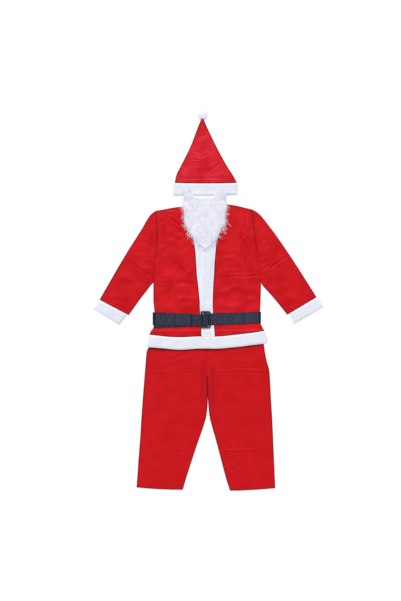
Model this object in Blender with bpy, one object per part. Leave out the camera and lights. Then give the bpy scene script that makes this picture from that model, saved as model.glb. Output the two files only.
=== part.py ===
"""A child's Santa suit, laid out flat and face up on a floor: hat, beard, jacket, belt and trousers.

Every piece of cloth is a wall in a node of its own, and the pieces lie on each other as the cloth does.
The plan is in millimetres: +X is the wearer's left, +Y points to the hat and Z is the height over the floor.
"""

import math

import bmesh
import bpy
import numpy as np
from mathutils import Vector

MM = 0.001

# Driving sizes, mm
CENTRE = (-1.0, -1.23)  # middle of the laid-out suit in the plan, which becomes the origin
CLOTH = 1.5  # red brushed cloth
TRIM = 2.0  # white trim
WEB = 1.6  # belt webbing
GAP = 0.3  # between layers, and along seams
HEM_SEAM = 0.4  # the hem band starts this far below the seam line
ARMHOLE = 0.7  # between the body and a sleeve
BAND_WIDTH = 51.0  # front band on the wearer's left
UNDER_BAND_WIDTH = 49.0  # and on the right, which lies under it
HEM_LEVEL = -144.0  # where the front bands run into the hem band
HEM_LIFT = 0.5  # of the hem band's front over its back
LAYER_SIDE = 45.0  # how far in from a side seam the upper layer has risen
OVER_RIGHT_BAND = 2.7  # the wearer's left front lies this much higher, over the right front's band
BELT_UNDER = 1.9  # the jacket's back passes over the belt at this height
WAIST_UNDER = 5.6  # and over the trousers' waist at this one
WAIST_WALL = 2.4  # doubled casing of the waist
WAIST_TOP = -128.0
WAIST_SEAM = -153.0
CAP_BASE = 467.4  # seam between the hat's cone and its band
CAP_BOW = (2.4, 3.6)  # how far the band's upper and lower edges bow down
CAP_TIP = 721.0
TIP_LIFT = 13.0  # the hat's tip lies up on the pompom
LIFT_START = 668.0
POMPOM_AT = (-24.8, 734.2, 8.6)
POMPOM_CORE = 10.5
POMPOM_REACH = 19.8
POMPOM_FLAT = 0.62  # height of the squashed ball over its width
POMPOM_UNEVEN = 1.8  # the shortest lock is this much shorter
LOCK_TAPER = ((0.5, 0.92), (1.0, 0.5))  # share of a lock's length, and how far its end narrows there
FLOOR_CLEARANCE = 0.35
BEARD_EDGE = 4.0
STRIP_WIDTH = 3.0  # backing of the curly locks at the beard's sides
STRIP_SPAN = (372.0, 238.0)
LOCKS_A_SIDE = 22
LOCK_RADIUS = 1.9
LOCK_LENGTH = (12.0, 5.0)  # mean, and how far it varies
LOCK_SAG = 2.6
BUCKLE_SIZE = (40.4, 66.8)
BUCKLE_CORNERS = (3.0, 9.0, 9.0, 3.0)
BUCKLE_AT = (-12.8, -75.4)
BUCKLE_WALL = 4.0
BUCKLE_SLOT = (10.4, 53.8)
SLOT_PLACES = (-9.9, 9.1)  # from the buckle's middle
SLOT_CORNER = 1.6
BAR_WIDTH = 14.0  # what is lowered between the slots
BAR_WALL = 1.6
BAR_OVERRIDE = 3.9  # the strap's rise where it crosses the bar


def table(names, *rows):
    """A short table with named columns: one row for each section or fold."""
    return {name: np.array([row[i] for row in rows], float) for i, name in enumerate(names.split())}


# Sides of the jacket's body from the shoulder's end down to the hem's seam
BODY_RIGHT = table(
    "y x", (354, -211.4), (302, -207.4), (262, -205.4), (202, -209.4), (130, -216.2), (70, -220.6),
    (2, -220.6), (-30, -217.6), (-46, -216.4), (-104, -218.2), (-121, -230.2), (-136, -236.8),
)
BODY_LEFT = table(
    "y x", (360, 171.8), (302, 178.6), (242, 186.6), (162, 195.8), (98, 203.8), (70, 207.4),
    (2, 205.6), (-30, 203.8), (-46, 203.4), (-88, 203.6), (-104, 212.0), (-121, 221.0),
)
# Edge of the red cloth along each front band
FRONT_RIGHT = table(
    "y x", (373, -97.4), (338, -85.4), (298, -72.4), (242, -60.8), (194, -53.4), (141, -49.8), (101, -47.4),
    (62, -42.6), (22, -38.6), (-18, -35.2), (-110, -30.6), (-146, -29.0),
)
FRONT_LEFT = table(
    "y x", (382, 66.6), (346, 57.6), (298, 42.8), (242, 30.4), (181, 25.4), (141, 22.2), (101, 20.4),
    (62, 17.6), (22, 16.0), (-18, 15.0), (-46, 16.4), (-110, 20.8), (-146, 23.8),
)
# Shoulder seams, with the back neckline between them, and the neck edge of the two front bands
SHOULDERS = table(
    "x y", (-212, 356.4), (-97.4, 373), (-80, 366), (-15, 361), (48, 369), (66.6, 382), (172, 362.4)
)
FRONT_NECK = table("x y", (-97.4, 373), (-60, 352), (-25, 345), (5, 347), (35, 358), (66.6, 382))
# Seam over the hem band and the band's lower edge
HEM = table(
    "x seam edge", (-244, -135.0, -184.8), (-193, -140.4, -188.9), (-152, -144.6, -192.6),
    (-113, -145.6, -195.2), (-33, -142.4, -190.4), (27, -142.8, -190.9), (107, -135.8, -184.8),
    (167, -128.8, -177.4), (225, -120.2, -171.0),
)
HEM_RIGHT = table("y x", (-134, -236.6), (-160, -243.2), (-188, -249.2))
HEM_LEFT = table("y x", (-119, 221.8), (-140, 230.0), (-158, 234.4), (-176, 224.8))
# How far the front stands above the back: inside the panel, and at its outer edge along the armhole
BODY_RISE = table(
    "y inside edge", (390, 0.4, 0.0), (354, 1.4, 0.0), (330, 3.0, 1.4), (260, 3.4, 2.8),
    (150, 3.4, 2.6), (70, 3.3, 0.0), (0, 3.2, 0.0), (-44, 2.2, 0.0), (-108, 2.2, 0.0),
    (-150, 2.6, 0.2), (-200, 2.6, 0.6),
)
# Sleeves, as rings from the armhole to the cuff's seam
SLEEVE_RIGHT = table(
    "v outer_x outer_y inner_x inner_y", (0.0, -211.8, 356.4, -221.0, 70),
    (0.06, -231.6, 341.2, -226.4, 65.2), (0.26, -268.6, 281.4, -246.0, 40.0),
    (0.5, -332.4, 180, -269.4, 10), (1.0, -434.8, 3.0, -318.8, -58.6),
)
SLEEVE_LEFT = table(
    "v outer_x outer_y inner_x inner_y", (0.0, 172.2, 362.4, 207.8, 70), (0.06, 195.6, 348.0, 211.4, 62.6),
    (0.26, 241.0, 294.6, 233.9, 36.9), (0.5, 316.4, 188.0, 261.0, 6), (1.0, 428.6, 13.1, 311.8, -56.9),
)
CUFF_RIGHT = table(
    "v outer_x outer_y inner_x inner_y", (0.0, -435.0, 2.7, -323.6, -56.4),
    (1.0, -460.2, -32.4, -355.4, -97.6),
)
CUFF_LEFT = table(
    "v outer_x outer_y inner_x inner_y", (0.0, 428.8, 12.8, 319.6, -52.7),
    (1.0, 458.2, -23.8, 338.4, -94.1),
)
# Trousers: outer sides, then the two inseams below the crotch; above it the centre seam is straight
TROUSER_SIDES = table(
    "y right left", (-128, -207.0, 191.0), (-172, -231.0, 218.0), (-206, -247.6, 223.2),
    (-240, -250.8, 230.0), (-280, -254.0, 240.6), (-386, -262.4, 246.8), (-453, -267.4, 250.8),
    (-542, -272.8, 255.2), (-630, -279.6, 259.0), (-719, -285.8, 262.8), (-756, -288.4, 264.8),
)
CENTRE_SEAM = table("y x", (-128, -13.4), (-386, -4.4))
INSEAMS = table(
    "y right left", (-386, -4.4, -4.4), (-410, -4.8, -2.6), (-453, -9.0, 1.4), (-497, -20.4, 11.4),
    (-542, -36.0, 24.4), (-630, -65.6, 47.8), (-719, -94.0, 71.6), (-756, -104.4, 84.0),
)
TROUSER_HEM = table(
    "x y", (-290, -742.8), (-200, -749.4), (-104, -752.4), (85, -755.8), (176, -752.2), (265, -745.8),
)
TROUSER_RISE = table(
    "y inside centre", (-128, 0.0, 1.0), (-196, 0.6, 1.0), (-250, 3.0, 0.7), (-350, 3.4, 0.6),
    (-404, 3.4, 0.0), (-740, 3.4, 0.0),
)
# The largest folds: shallow troughs across a leg or a front at one height
TROUSER_FOLDS = table("y depth width", (-284, 1.1, 9), (-606, 0.8, 9))
JACKET_FOLDS = table("y depth width", (82, 0.9, 9))
SLEEVE_FOLDS = table("v depth width", (0.46, 1.4, 0.02))
# Hat
CAP = table(
    "y right left", (721, -28.6, -21.8), (690, -43.0, -8.0), (658, -55.2, 7.6), (626, -67.0, 22.8),
    (594, -81.4, 39.2), (562, -97.4, 56.6), (530, -113.8, 74.8), (498, -129.2, 95.6), (465, -136.4, 113.4),
)
CAP_BAND = table(
    "v outer_x outer_y inner_x inner_y", (0.0, -142.0, 467.1, 114.8, 467.1),
    (1.0, -144.6, 416.8, 114.4, 419.8),
)
# Beard: sides, top edge with its two ears (across the beard's width), and the height of its underside
BEARD = table(
    "y right left", (428, -98.2, 65.0), (402, -101.8, 69.4), (376, -103.6, 71.0), (350, -94.6, 62.6),
    (322, -95.0, 62.4), (308, -92.4, 63.6), (296, -87.6, 53.6), (276, -76.0, 40.4), (256, -65.0, 32.0),
    (238, -51.0, 24.0), (220, -33.0, 5.6), (207, -18.0, -9.0),
)
BEARD_TOP = table(
    "u y", (0.0, 423), (0.035, 428), (0.16, 428), (0.21, 424), (0.245, 409), (0.5, 406.4), (0.72, 409),
    (0.75, 424), (0.8, 428), (0.965, 428), (1.0, 423),
)
BEARD_UNDER = table(
    "y z", (430, 9.3), (411, 9.3), (401, 1.6), (393, 1.6), (385, 6.9), (345, 10.6), (200, 10.8)
)
# Height of its crest, along the middle
BEARD_CREST = table(
    "y z", (430, 13.4), (412, 14.6), (380, 17.4), (345, 20.6), (300, 22.4), (262, 21.0), (236, 17.6),
    (218, 14.6), (205, 13.2),
)
# The belt's strap: route of its middle line, from the free end on top, round the back, to the tucked end.
# Layer 0 runs under the jacket's back, 1 is the lower layer in front, 2 the upper one, 3 crosses the bar.
STRAP = table(
    "x layer top bottom",
    (-65.4, 2, -52.4, -103.2), (-90.0, 2, -51.6, -102.4), (-120.0, 2, -50.6, -101.4),
    (-150.0, 2, -49.4, -100.4), (-180.0, 2, -48.0, -99.2), (-196.0, 2, -47.4, -98.6),
    (-210.0, 2, -47.0, -98.2), (-219.2, 2, -46.8, -98.0), (-219.2, 0, -46.8, -98.0),
    (-100.0, 0, -48.0, -98.0), (100.0, 0, -47.0, -96.0), (204.2, 0, -45.0, -91.0),
    (204.2, 1, -44.2, -90.2), (192.0, 1, -44.6, -90.8), (178.0, 1, -45.0, -91.4),
    (158.0, 1, -46.0, -92.4), (100.0, 1, -48.2, -95.4), (62.0, 1, -49.4, -96.6), (52.0, 1, -49.6, -96.8),
    (36.0, 1, -50.2, -97.2), (23.0, 1, -50.8, -97.6), (0.6, 1, -52.0, -98.6), (-8.4, 3, -53.0, -99.6),
    (-17.8, 3, -53.8, -100.4), (-27.4, 1, -54.6, -101.2), (-42.0, 1, -55.0, -101.6),
    (-60.0, 1, -54.6, -102.0), (-76.0, 1, -54.8, -102.6), (-122.0, 1, -56.6, -105.4),
    (-142.0, 1, -58.0, -107.3), (-170.0, 1, -58.2, -107.6), (-190.0, 1, -58.4, -107.9),
    (-206.0, 1, -58.8, -108.6), (-219.2, 1, -59.2, -109.4),
)
# Thickness of what lies on the jacket's upper layer under the strap
STRAP_PILE = table(
    "x height", (-210, 1.5), (-62, 1.5), (-42, 4.8), (22, 4.8), (44, 3.8), (62, 1.7), (210, 1.5)
)


def smooth(t):
    """0 below 0, 1 above 1 and an even S between them."""
    t = np.clip(t, 0.0, 1.0)
    return t * t * (3.0 - 2.0 * t)


def follow(source, key, column, at):
    """A column of a table at one place, on a smooth curve through its rows that never overshoots them."""
    order = np.argsort(source[key])
    x, y = source[key][order], source[column][order]
    step = np.diff(x)
    slope = np.diff(y) / step
    turn = slope[:-1] * slope[1:]
    mean = np.where(turn > 0, 2.0 * turn / np.where(turn > 0, slope[:-1] + slope[1:], 1.0), 0.0)
    tangent = np.concatenate([slope[:1], mean, slope[-1:]])
    at = float(np.clip(at, x[0], x[-1]))
    i = int(np.clip(np.searchsorted(x, at) - 1, 0, len(step) - 1))
    t = (at - x[i]) / step[i]
    start = y[i] + t * t * (3 - 2 * t) * (y[i + 1] - y[i])
    return start + step[i] * t * (1 - t) * ((1 - t) * tangent[i] - t * tangent[i + 1])


def edge_line(source, key, column, shift=0.0):
    """One edge of a piece, as a function of the level or of the place across."""
    return lambda at: follow(source, key, column, at) + shift


def between(start, end, count):
    return [start + (end - start) * i / (count - 1) for i in range(count)]


def folds(source, key, at):
    """Depth of the troughs in one table at one place."""
    away = (at - source[key]) / source["width"]
    return float(np.sum(source["depth"] * np.exp(-away * away)))


def look(name, colour, roughness, metallic=0.0):
    material = bpy.data.materials.new(name)
    material.use_nodes = True
    shader = material.node_tree.nodes["Principled BSDF"]
    shader.inputs["Base Color"].default_value = (*colour, 1.0)
    shader.inputs["Roughness"].default_value = roughness
    shader.inputs["Metallic"].default_value = metallic
    material.diffuse_color = (*colour, 1.0)
    return material


def add(name, bm, material, collection):
    """Turns a bmesh in millimetres into a named object in metres."""
    bmesh.ops.recalc_face_normals(bm, faces=bm.faces[:])
    bmesh.ops.translate(bm, vec=(-CENTRE[0], -CENTRE[1], 0.0), verts=bm.verts[:])
    bmesh.ops.scale(bm, vec=(MM, MM, MM), verts=bm.verts[:])
    mesh = bpy.data.meshes.new(name)
    bm.to_mesh(mesh)
    bm.free()
    mesh.shade_smooth()
    mesh.set_sharp_from_angle(angle=math.radians(35))
    mesh.materials.append(material)
    obj = bpy.data.objects.new(name, mesh)
    collection.objects.link(obj)
    return obj


def cloth(name, place, across, along, material, collection, wrapped=False):
    """A cloth wall over a grid: place(u, v, side) gives the points of one face, then of the other.

    A wrapped grid closes on itself across, which makes a flattened tube.
    """
    bm = bmesh.new()
    u_of = bm.verts.layers.float.new("u")
    v_of = bm.verts.layers.float.new("v")
    bmesh.ops.create_grid(bm, x_segments=len(across) - 1, y_segments=len(along) - 1, size=1.0)
    for vert in bm.verts:
        vert[u_of] = across[round((vert.co.x + 1) / 2 * (len(across) - 1))]
        vert[v_of] = along[round((vert.co.y + 1) / 2 * (len(along) - 1))]
    for vert in bm.verts:
        vert.co = place(vert[u_of], vert[v_of], 0)
    if wrapped:
        bmesh.ops.remove_doubles(bm, verts=bm.verts[:], dist=1e-4)
    grown = bmesh.ops.extrude_face_region(bm, geom=bm.faces[:])["geom"]
    for item in grown:
        if isinstance(item, bmesh.types.BMVert):
            item.co = place(item[u_of], item[v_of], 1)
    return add(name, bm, material, collection)


def inside(u, v, low, high, top, bottom):
    """A plan point inside four edges: low and high give x at a level y, top and bottom give y at x."""
    ends = []
    for edge in (top, bottom):
        y = edge(0.0)
        for _ in range(5):
            y = edge(low(y) + (high(y) - low(y)) * u)
        ends.append(y)
    y = ends[0] + (ends[1] - ends[0]) * v
    return low(y) + (high(y) - low(y)) * u, y


# Jacket


def under_jacket(y):
    """Height of the jacket's back: on the floor, over the belt, then over the trousers' waist."""
    over_belt = BELT_UNDER * smooth((4.0 - y) / 26.0)
    return over_belt + (WAIST_UNDER - BELT_UNDER) * smooth((-113.0 - y) / 9.0)


def body_right(y):
    return follow(BODY_RIGHT, "y", "x", y) if y > -136 else follow(HEM_RIGHT, "y", "x", y)


def body_left(y):
    return follow(BODY_LEFT, "y", "x", y) if y > -121 else follow(HEM_LEFT, "y", "x", y)


def front_right(y):
    return follow(FRONT_RIGHT, "y", "x", y)


def front_left(y):
    return follow(FRONT_LEFT, "y", "x", y)


def shoulders(x):
    return follow(SHOULDERS, "x", "y", x)


def hem_seam(x):
    return follow(HEM, "x", "seam", x)


def hem_edge(x):
    return follow(HEM, "x", "edge", x)


def upper_layer(x, y):
    """Underside of the jacket's front: it rises from the side seams, the shoulders and the belt."""
    edge = follow(BODY_RISE, "y", "edge", y)
    inner = follow(BODY_RISE, "y", "inside", y) - folds(JACKET_FOLDS, "y", y)
    from_side = smooth(min(x - body_right(y), body_left(y) - x) / LAYER_SIDE)
    from_shoulder = smooth((shoulders(x) + 2.0 - y) / LAYER_SIDE)
    rise = (edge + (inner - edge) * from_side) * from_shoulder
    return under_jacket(y) + CLOTH + GAP + rise


def over_band(x, y):
    """How much higher the wearer's left front lies, where the right front's band is under it."""
    end = front_right(y) + UNDER_BAND_WIDTH
    return OVER_RIGHT_BAND * (1.0 - smooth((x - end - 1.0) / 30.0))


BODY_ROWS = [0, 0.03, 0.07, 0.12, 0.18, 0.26, 0.34, 0.42, 0.49, 0.535, 0.552, 0.569, 0.61, 0.68]
BODY_ROWS += [0.74, 0.77, 0.805, 0.87, 0.935, 0.945, 0.96, 0.978, 1]
BACK_COLUMNS = [0, 0.05, 0.13, 0.22, 0.3, 0.34, 0.42, 0.51, 0.6, 0.68, 0.72, 0.8, 0.89, 0.95, 1]
SIDE_COLUMNS = [0, 0.015, 0.05, 0.11, 0.2, 0.33, 0.5, 0.68, 0.86, 1]


def jacket(red, white, collection):
    seam = GAP / 2
    right_edge = edge_line(FRONT_RIGHT, "y", "x", -seam)
    left_edge = edge_line(FRONT_LEFT, "y", "x", seam)
    low_edge = edge_line(HEM, "x", "seam", seam)

    def back(u, v, side):
        x, y = inside(u, v, body_right, body_left, shoulders, low_edge)
        return x, y, under_jacket(y) + CLOTH * side

    def right_front(u, v, side):
        x, y = inside(u, v, body_right, right_edge, shoulders, low_edge)
        return x, y, upper_layer(x, y) + CLOTH * side

    def left_front(u, v, side):
        x, y = inside(1 - u, v, left_edge, body_left, shoulders, low_edge)
        return x, y, upper_layer(x, y) + over_band(x, y) + CLOTH * side

    cloth("jacket_back", back, BACK_COLUMNS, BODY_ROWS, red, collection)
    cloth("jacket_front_right", right_front, SIDE_COLUMNS, BODY_ROWS, red, collection)
    cloth("jacket_front_left", left_front, SIDE_COLUMNS, BODY_ROWS, red, collection)

    neck = edge_line(FRONT_NECK, "x", "y")
    right_sides = (
        edge_line(FRONT_RIGHT, "y", "x", seam), edge_line(FRONT_RIGHT, "y", "x", UNDER_BAND_WIDTH)
    )
    left_sides = (edge_line(FRONT_LEFT, "y", "x", -BAND_WIDTH), edge_line(FRONT_LEFT, "y", "x", -seam))

    def right_band(u, v, side):
        x, y = inside(u, v, *right_sides, neck, low_edge)
        return x, y, upper_layer(x, y) + TRIM * side

    def left_band(u, v, side):
        x, y = inside(u, v, *left_sides, neck, low_edge)
        return x, y, upper_layer(x, y) + over_band(x, y) + TRIM * side

    cloth("front_band_right", right_band, [0, 0.5, 1], BODY_ROWS, white, collection)
    cloth("front_band_left", left_band, [0, 0.35, 0.7, 1], BODY_ROWS, white, collection)

    hem_top = edge_line(HEM, "x", "seam", -HEM_SEAM)
    right_end = front_right(HEM_LEVEL) + UNDER_BAND_WIDTH
    left_end = front_left(HEM_LEVEL) - BAND_WIDTH

    def hem_back(u, v, side):
        x, y = inside(u, v, body_right, body_left, hem_top, hem_edge)
        return x, y, under_jacket(y) + TRIM * side

    def hem_right(u, v, side):
        x, y = inside(u, v, body_right, lambda y: right_end, hem_top, hem_edge)
        return x, y, upper_layer(x, y) + HEM_LIFT + TRIM * side

    def hem_left(u, v, side):
        x, y = inside(u, v, lambda y: left_end, body_left, hem_top, hem_edge)
        return x, y, upper_layer(x, y) + HEM_LIFT + over_band(x, HEM_LEVEL) + TRIM * side

    hem_rows = [0, 0.25, 0.55, 0.8, 1]
    hem_columns = [0, 0.02, 0.07, 0.16, 0.3, 0.45, 0.6, 0.75, 0.9, 1]
    left_columns = [0, 0.12, 0.22, 0.28, 0.4, 0.55, 0.7, 0.84, 0.93, 0.98, 1]
    cloth("hem_band_back", hem_back, BACK_COLUMNS, hem_rows, white, collection)
    cloth("hem_band_front_right", hem_right, hem_columns, hem_rows, white, collection)
    cloth("hem_band_front_left", hem_left, left_columns, hem_rows, white, collection)


# Flattened tubes: sleeves, cuffs and the hat's band


def flat_ring(flat_steps, fold_steps):
    """Stations round a flattened tube: place across it, and angle round its two folds."""
    ring = [(t, 0.0) for t in between(0.0, 1.0, flat_steps + 1)]
    ring += [(1.0, angle) for angle in between(0.0, math.pi, fold_steps + 1)[1:]]
    ring += [(t, math.pi) for t in between(1.0, 0.0, flat_steps + 1)[1:]]
    ring += [(0.0, angle) for angle in between(math.pi, 2 * math.pi, fold_steps + 1)[1:]]
    return ring


RING = flat_ring(8, 3)


def tube_point(station, v, side, source, wall, rise):
    """A point on the outer face (side 0) or the inner face (side 1) of a flattened tube."""
    t, angle = RING[int(round(station))]
    outer = Vector((follow(source, "v", "outer_x", v), follow(source, "v", "outer_y", v)))
    inner = Vector((follow(source, "v", "inner_x", v), follow(source, "v", "inner_y", v)))
    fold = wall + GAP / 2
    radius = fold - wall * side
    width = (inner - outer).length
    reach = (fold + (width - 2 * fold) * t + radius * math.sin(angle)) / width
    spot = outer + (inner - outer) * reach
    crown = math.sin(math.pi * t) ** 0.7
    lift = rise * crown * (1.0 - math.cos(angle)) / 2
    return spot.x, spot.y, fold - radius * math.cos(angle) + lift, t


def sleeve(name, source, body_edge, gap, material, collection):
    """A sleeve whose ring at the armhole follows the curved armhole seam of the body."""
    shoulder, underarm = source["outer_y"][0], source["inner_y"][0]

    def place(station, v, side):
        x, y, z, t = tube_point(station, v, side, source, CLOTH, 3.0 - folds(SLEEVE_FOLDS, "v", v))
        level = shoulder + (underarm - shoulder) * t
        chord = source["outer_x"][0] + (source["inner_x"][0] - source["outer_x"][0]) * t
        return x + (body_edge(level) + gap - chord) * (1.0 - v) ** 3, y, z

    rows = [0, 0.03, 0.06, 0.14, 0.24, 0.35, 0.43, 0.46, 0.49, 0.6, 0.8, 1]
    stations = list(range(len(RING)))
    cloth(name, place, stations, rows, material, collection, wrapped=True)


def tube(name, source, wall, rise, material, collection):
    def place(station, v, side):
        return tube_point(station, v, side, source, wall, rise * (0.75 + 0.25 * math.sin(math.pi * v)))[:3]

    cloth(name, place, list(range(len(RING))), [0, 0.3, 0.7, 1], material, collection, wrapped=True)


def sleeves(red, white, collection):
    sleeve("sleeve_right", SLEEVE_RIGHT, body_right, -ARMHOLE, red, collection)
    sleeve("sleeve_left", SLEEVE_LEFT, body_left, ARMHOLE, red, collection)
    tube("cuff_right", CUFF_RIGHT, TRIM, 2.8, white, collection)
    tube("cuff_left", CUFF_LEFT, TRIM, 2.8, white, collection)


# Trousers


def trouser_hem(x):
    return follow(TROUSER_HEM, "x", "y", x)


def leg(side_name, sign, red, collection):
    """The front and back of one leg; sign is -1 on the wearer's right and 1 on the left."""
    seam = GAP / 2
    crotch = CENTRE_SEAM["y"][-1]

    def outer(y):
        return follow(TROUSER_SIDES, "y", side_name, y)

    def inner(y):
        x = follow(CENTRE_SEAM, "y", "x", y) if y > crotch else follow(INSEAMS, "y", side_name, y)
        return x + sign * seam

    def plan(u, v):
        low, high = (outer, inner) if sign < 0 else (inner, outer)
        across = u if sign < 0 else 1 - u
        return inside(across, v, low, high, lambda x: WAIST_SEAM - seam, trouser_hem)

    def rise(x, y):
        side = smooth(abs(x - outer(y)) / LAYER_SIDE)
        centre = follow(TROUSER_RISE, "y", "centre", y)
        middle = centre + (1.0 - centre) * smooth(abs(x - inner(y)) / LAYER_SIDE)
        height = follow(TROUSER_RISE, "y", "inside", y)
        return max(height - folds(TROUSER_FOLDS, "y", y) * min(height, 1.0), 0.0) * side * middle

    def front(u, v, side):
        x, y = plan(u, v)
        return x, y, CLOTH + GAP + rise(x, y) + CLOTH * side

    def back(u, v, side):
        x, y = plan(u, v)
        return x, y, CLOTH * side

    rows = [0, 0.04, 0.09, 0.15, 0.202, 0.219, 0.236, 0.3, 0.38, 0.42, 0.47, 0.52, 0.58, 0.66]
    rows += [0.745, 0.76, 0.775, 0.86, 0.94, 1]
    columns = [0, 0.02, 0.08, 0.18, 0.4, 0.65, 0.86, 1]
    cloth("trouser_front_" + side_name, front, columns, rows, red, collection)
    cloth("trouser_back_" + side_name, back, [0, 1], rows, red, collection)


def trousers(red, collection):
    leg("right", -1, red, collection)
    leg("left", 1, red, collection)

    def casing(u, v, side):
        low, high = edge_line(TROUSER_SIDES, "y", "right"), edge_line(TROUSER_SIDES, "y", "left")
        return inside(u, v, low, high, lambda x: WAIST_TOP, lambda x: WAIST_SEAM + GAP / 2)

    def waist_back(u, v, side):
        return (*casing(u, v, side), WAIST_WALL * side)

    def waist_front(u, v, side):
        return (*casing(u, v, side), WAIST_WALL + GAP + WAIST_WALL * side)

    cloth("waistband_back", waist_back, between(0, 1, 6), [0, 0.5, 1], red, collection)
    cloth("waistband_front", waist_front, between(0, 1, 6), [0, 0.5, 1], red, collection)


# Belt


def strap_seat(x):
    """Top of what the strap lies on in front."""
    y = BUCKLE_AT[1]
    from_side = smooth(min(x - body_right(y), body_left(y) - x) / LAYER_SIDE)
    front = BELT_UNDER + CLOTH + GAP + follow(BODY_RISE, "y", "inside", y) * from_side
    return front + follow(STRAP_PILE, "x", "height", x) + GAP


def strap_level(x, layer):
    """Middle of the strap's thickness in each of its layers; layer 3 passes over the buckle's bar."""
    if layer < 0.5:
        return WEB / 2
    seat = strap_seat(min(max(x, -206.0), 200.0))
    heights = {1: WEB / 2, 2: WEB * 1.5 + GAP, 3: WEB / 2 + BAR_OVERRIDE}
    return seat + heights[int(round(layer))]


def strap_route():
    """The strap's middle line with its two side folds as half rounds: x, z, top and bottom."""
    route = []
    count = len(STRAP["x"])
    for i in range(count):
        x, layer, top, bottom = (STRAP[column][i] for column in ("x", "layer", "top", "bottom"))
        z = strap_level(x, layer)
        route.append((x, z, top, bottom))
        folds_here = i + 1 < count and STRAP["x"][i + 1] == x
        if not folds_here:
            continue
        other = strap_level(x, STRAP["layer"][i + 1])
        outward = -1.0 if x < 0 else 1.0
        radius = abs(z - other) / 2
        start = math.pi / 2 if z > other else -math.pi / 2
        turn = -math.pi if z > other else math.pi
        for step in between(0.0, 1.0, 7)[1:-1]:
            angle = start + turn * step
            place = x + outward * radius * math.cos(angle)
            height = (z + other) / 2 + radius * math.sin(angle)
            route.append((place, height, top, bottom))
    return route


def strap(material, collection):
    route = strap_route()
    line = [Vector((x, z)) for x, z, top, bottom in route]

    def place(station, v, side):
        i = int(round(station))
        before = (line[i] - line[max(i - 1, 0)]).normalized()
        after = (line[min(i + 1, len(line) - 1)] - line[i]).normalized()
        along = (before + after).normalized()
        normal = Vector((-along.y, along.x))
        spread = WEB / 2 / max(normal.dot(Vector((-after.y, after.x))) if after.length else 1.0, 0.5)
        spot = line[i] + normal * spread * (1 - 2 * side)
        top, bottom = route[i][2], route[i][3]
        return spot.x, top + (bottom - top) * v, spot.y

    cloth("belt_strap", place, list(range(len(route))), [0, 1], material, collection)


def rounded_rectangle(centre, size, corners, segments=4):
    """Outline points; corners holds the radius at each corner, anticlockwise from the lower left."""
    half_x, half_y = size[0] / 2, size[1] / 2
    points = []
    for quarter, (sx, sy) in enumerate([(-1, -1), (1, -1), (1, 1), (-1, 1)]):
        radius = corners[quarter]
        middle = (centre[0] + sx * (half_x - radius), centre[1] + sy * (half_y - radius))
        start = math.pi * (1 + quarter / 2)
        for angle in between(start, start + math.pi / 2, segments + 1):
            points.append((middle[0] + radius * math.cos(angle), middle[1] + radius * math.sin(angle)))
    return points


def buckle(material, collection, cutters):
    """A moulded slide buckle: a frame with two slots, and a lower bar between them under the strap."""
    base = strap_seat(BUCKLE_AT[0]) + WEB + GAP
    curve = bpy.data.curves.new("buckle_outline", "CURVE")
    curve.dimensions = "2D"
    curve.fill_mode = "BOTH"
    curve.extrude = BUCKLE_WALL / 2 * MM
    outlines = [rounded_rectangle(BUCKLE_AT, BUCKLE_SIZE, BUCKLE_CORNERS)]
    for place in SLOT_PLACES:
        middle = (BUCKLE_AT[0] + place, BUCKLE_AT[1])
        outlines.append(rounded_rectangle(middle, BUCKLE_SLOT, (SLOT_CORNER,) * 4, 2)[::-1])
    for outline in outlines:
        spline = curve.splines.new("POLY")
        spline.points.add(len(outline) - 1)
        spline.use_cyclic_u = True
        for point, (x, y) in zip(spline.points, outline):
            point.co = (x * MM, y * MM, 0.0, 1.0)
    shape = bpy.data.objects.new("buckle_shape", curve)
    shape.location.z = (base + BUCKLE_WALL / 2) * MM
    collection.objects.link(shape)
    bpy.context.view_layer.update()
    mesh = bpy.data.meshes.new_from_object(shape.evaluated_get(bpy.context.evaluated_depsgraph_get()))
    mesh.transform(shape.matrix_world)
    bpy.data.objects.remove(shape)
    bm = bmesh.new()
    bm.from_mesh(mesh)
    bmesh.ops.remove_doubles(bm, verts=bm.verts[:], dist=1e-6)
    bmesh.ops.scale(bm, vec=(1 / MM,) * 3, verts=bm.verts[:])
    frame = add("belt_buckle", bm, material, collection)

    bm = bmesh.new()
    depth = 10.0
    bar_x = BUCKLE_AT[0] + sum(SLOT_PLACES) / 2
    bmesh.ops.create_cube(bm, size=1.0)
    bmesh.ops.scale(bm, vec=(BAR_WIDTH, BUCKLE_SLOT[1] - 1.0, depth), verts=bm.verts[:])
    bmesh.ops.translate(bm, vec=(bar_x, BUCKLE_AT[1], base + BAR_WALL + depth / 2), verts=bm.verts[:])
    cutter = add("buckle_bar_cutter", bm, material, cutters)
    cutter.hide_render = True
    cutter.display_type = "WIRE"
    lower = frame.modifiers.new("lower the bar", "BOOLEAN")
    lower.operation = "DIFFERENCE"
    lower.object = cutter


# Hat


def cap_lift(y):
    return TIP_LIFT * smooth((y - LIFT_START) / (CAP_TIP - LIFT_START))


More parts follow.
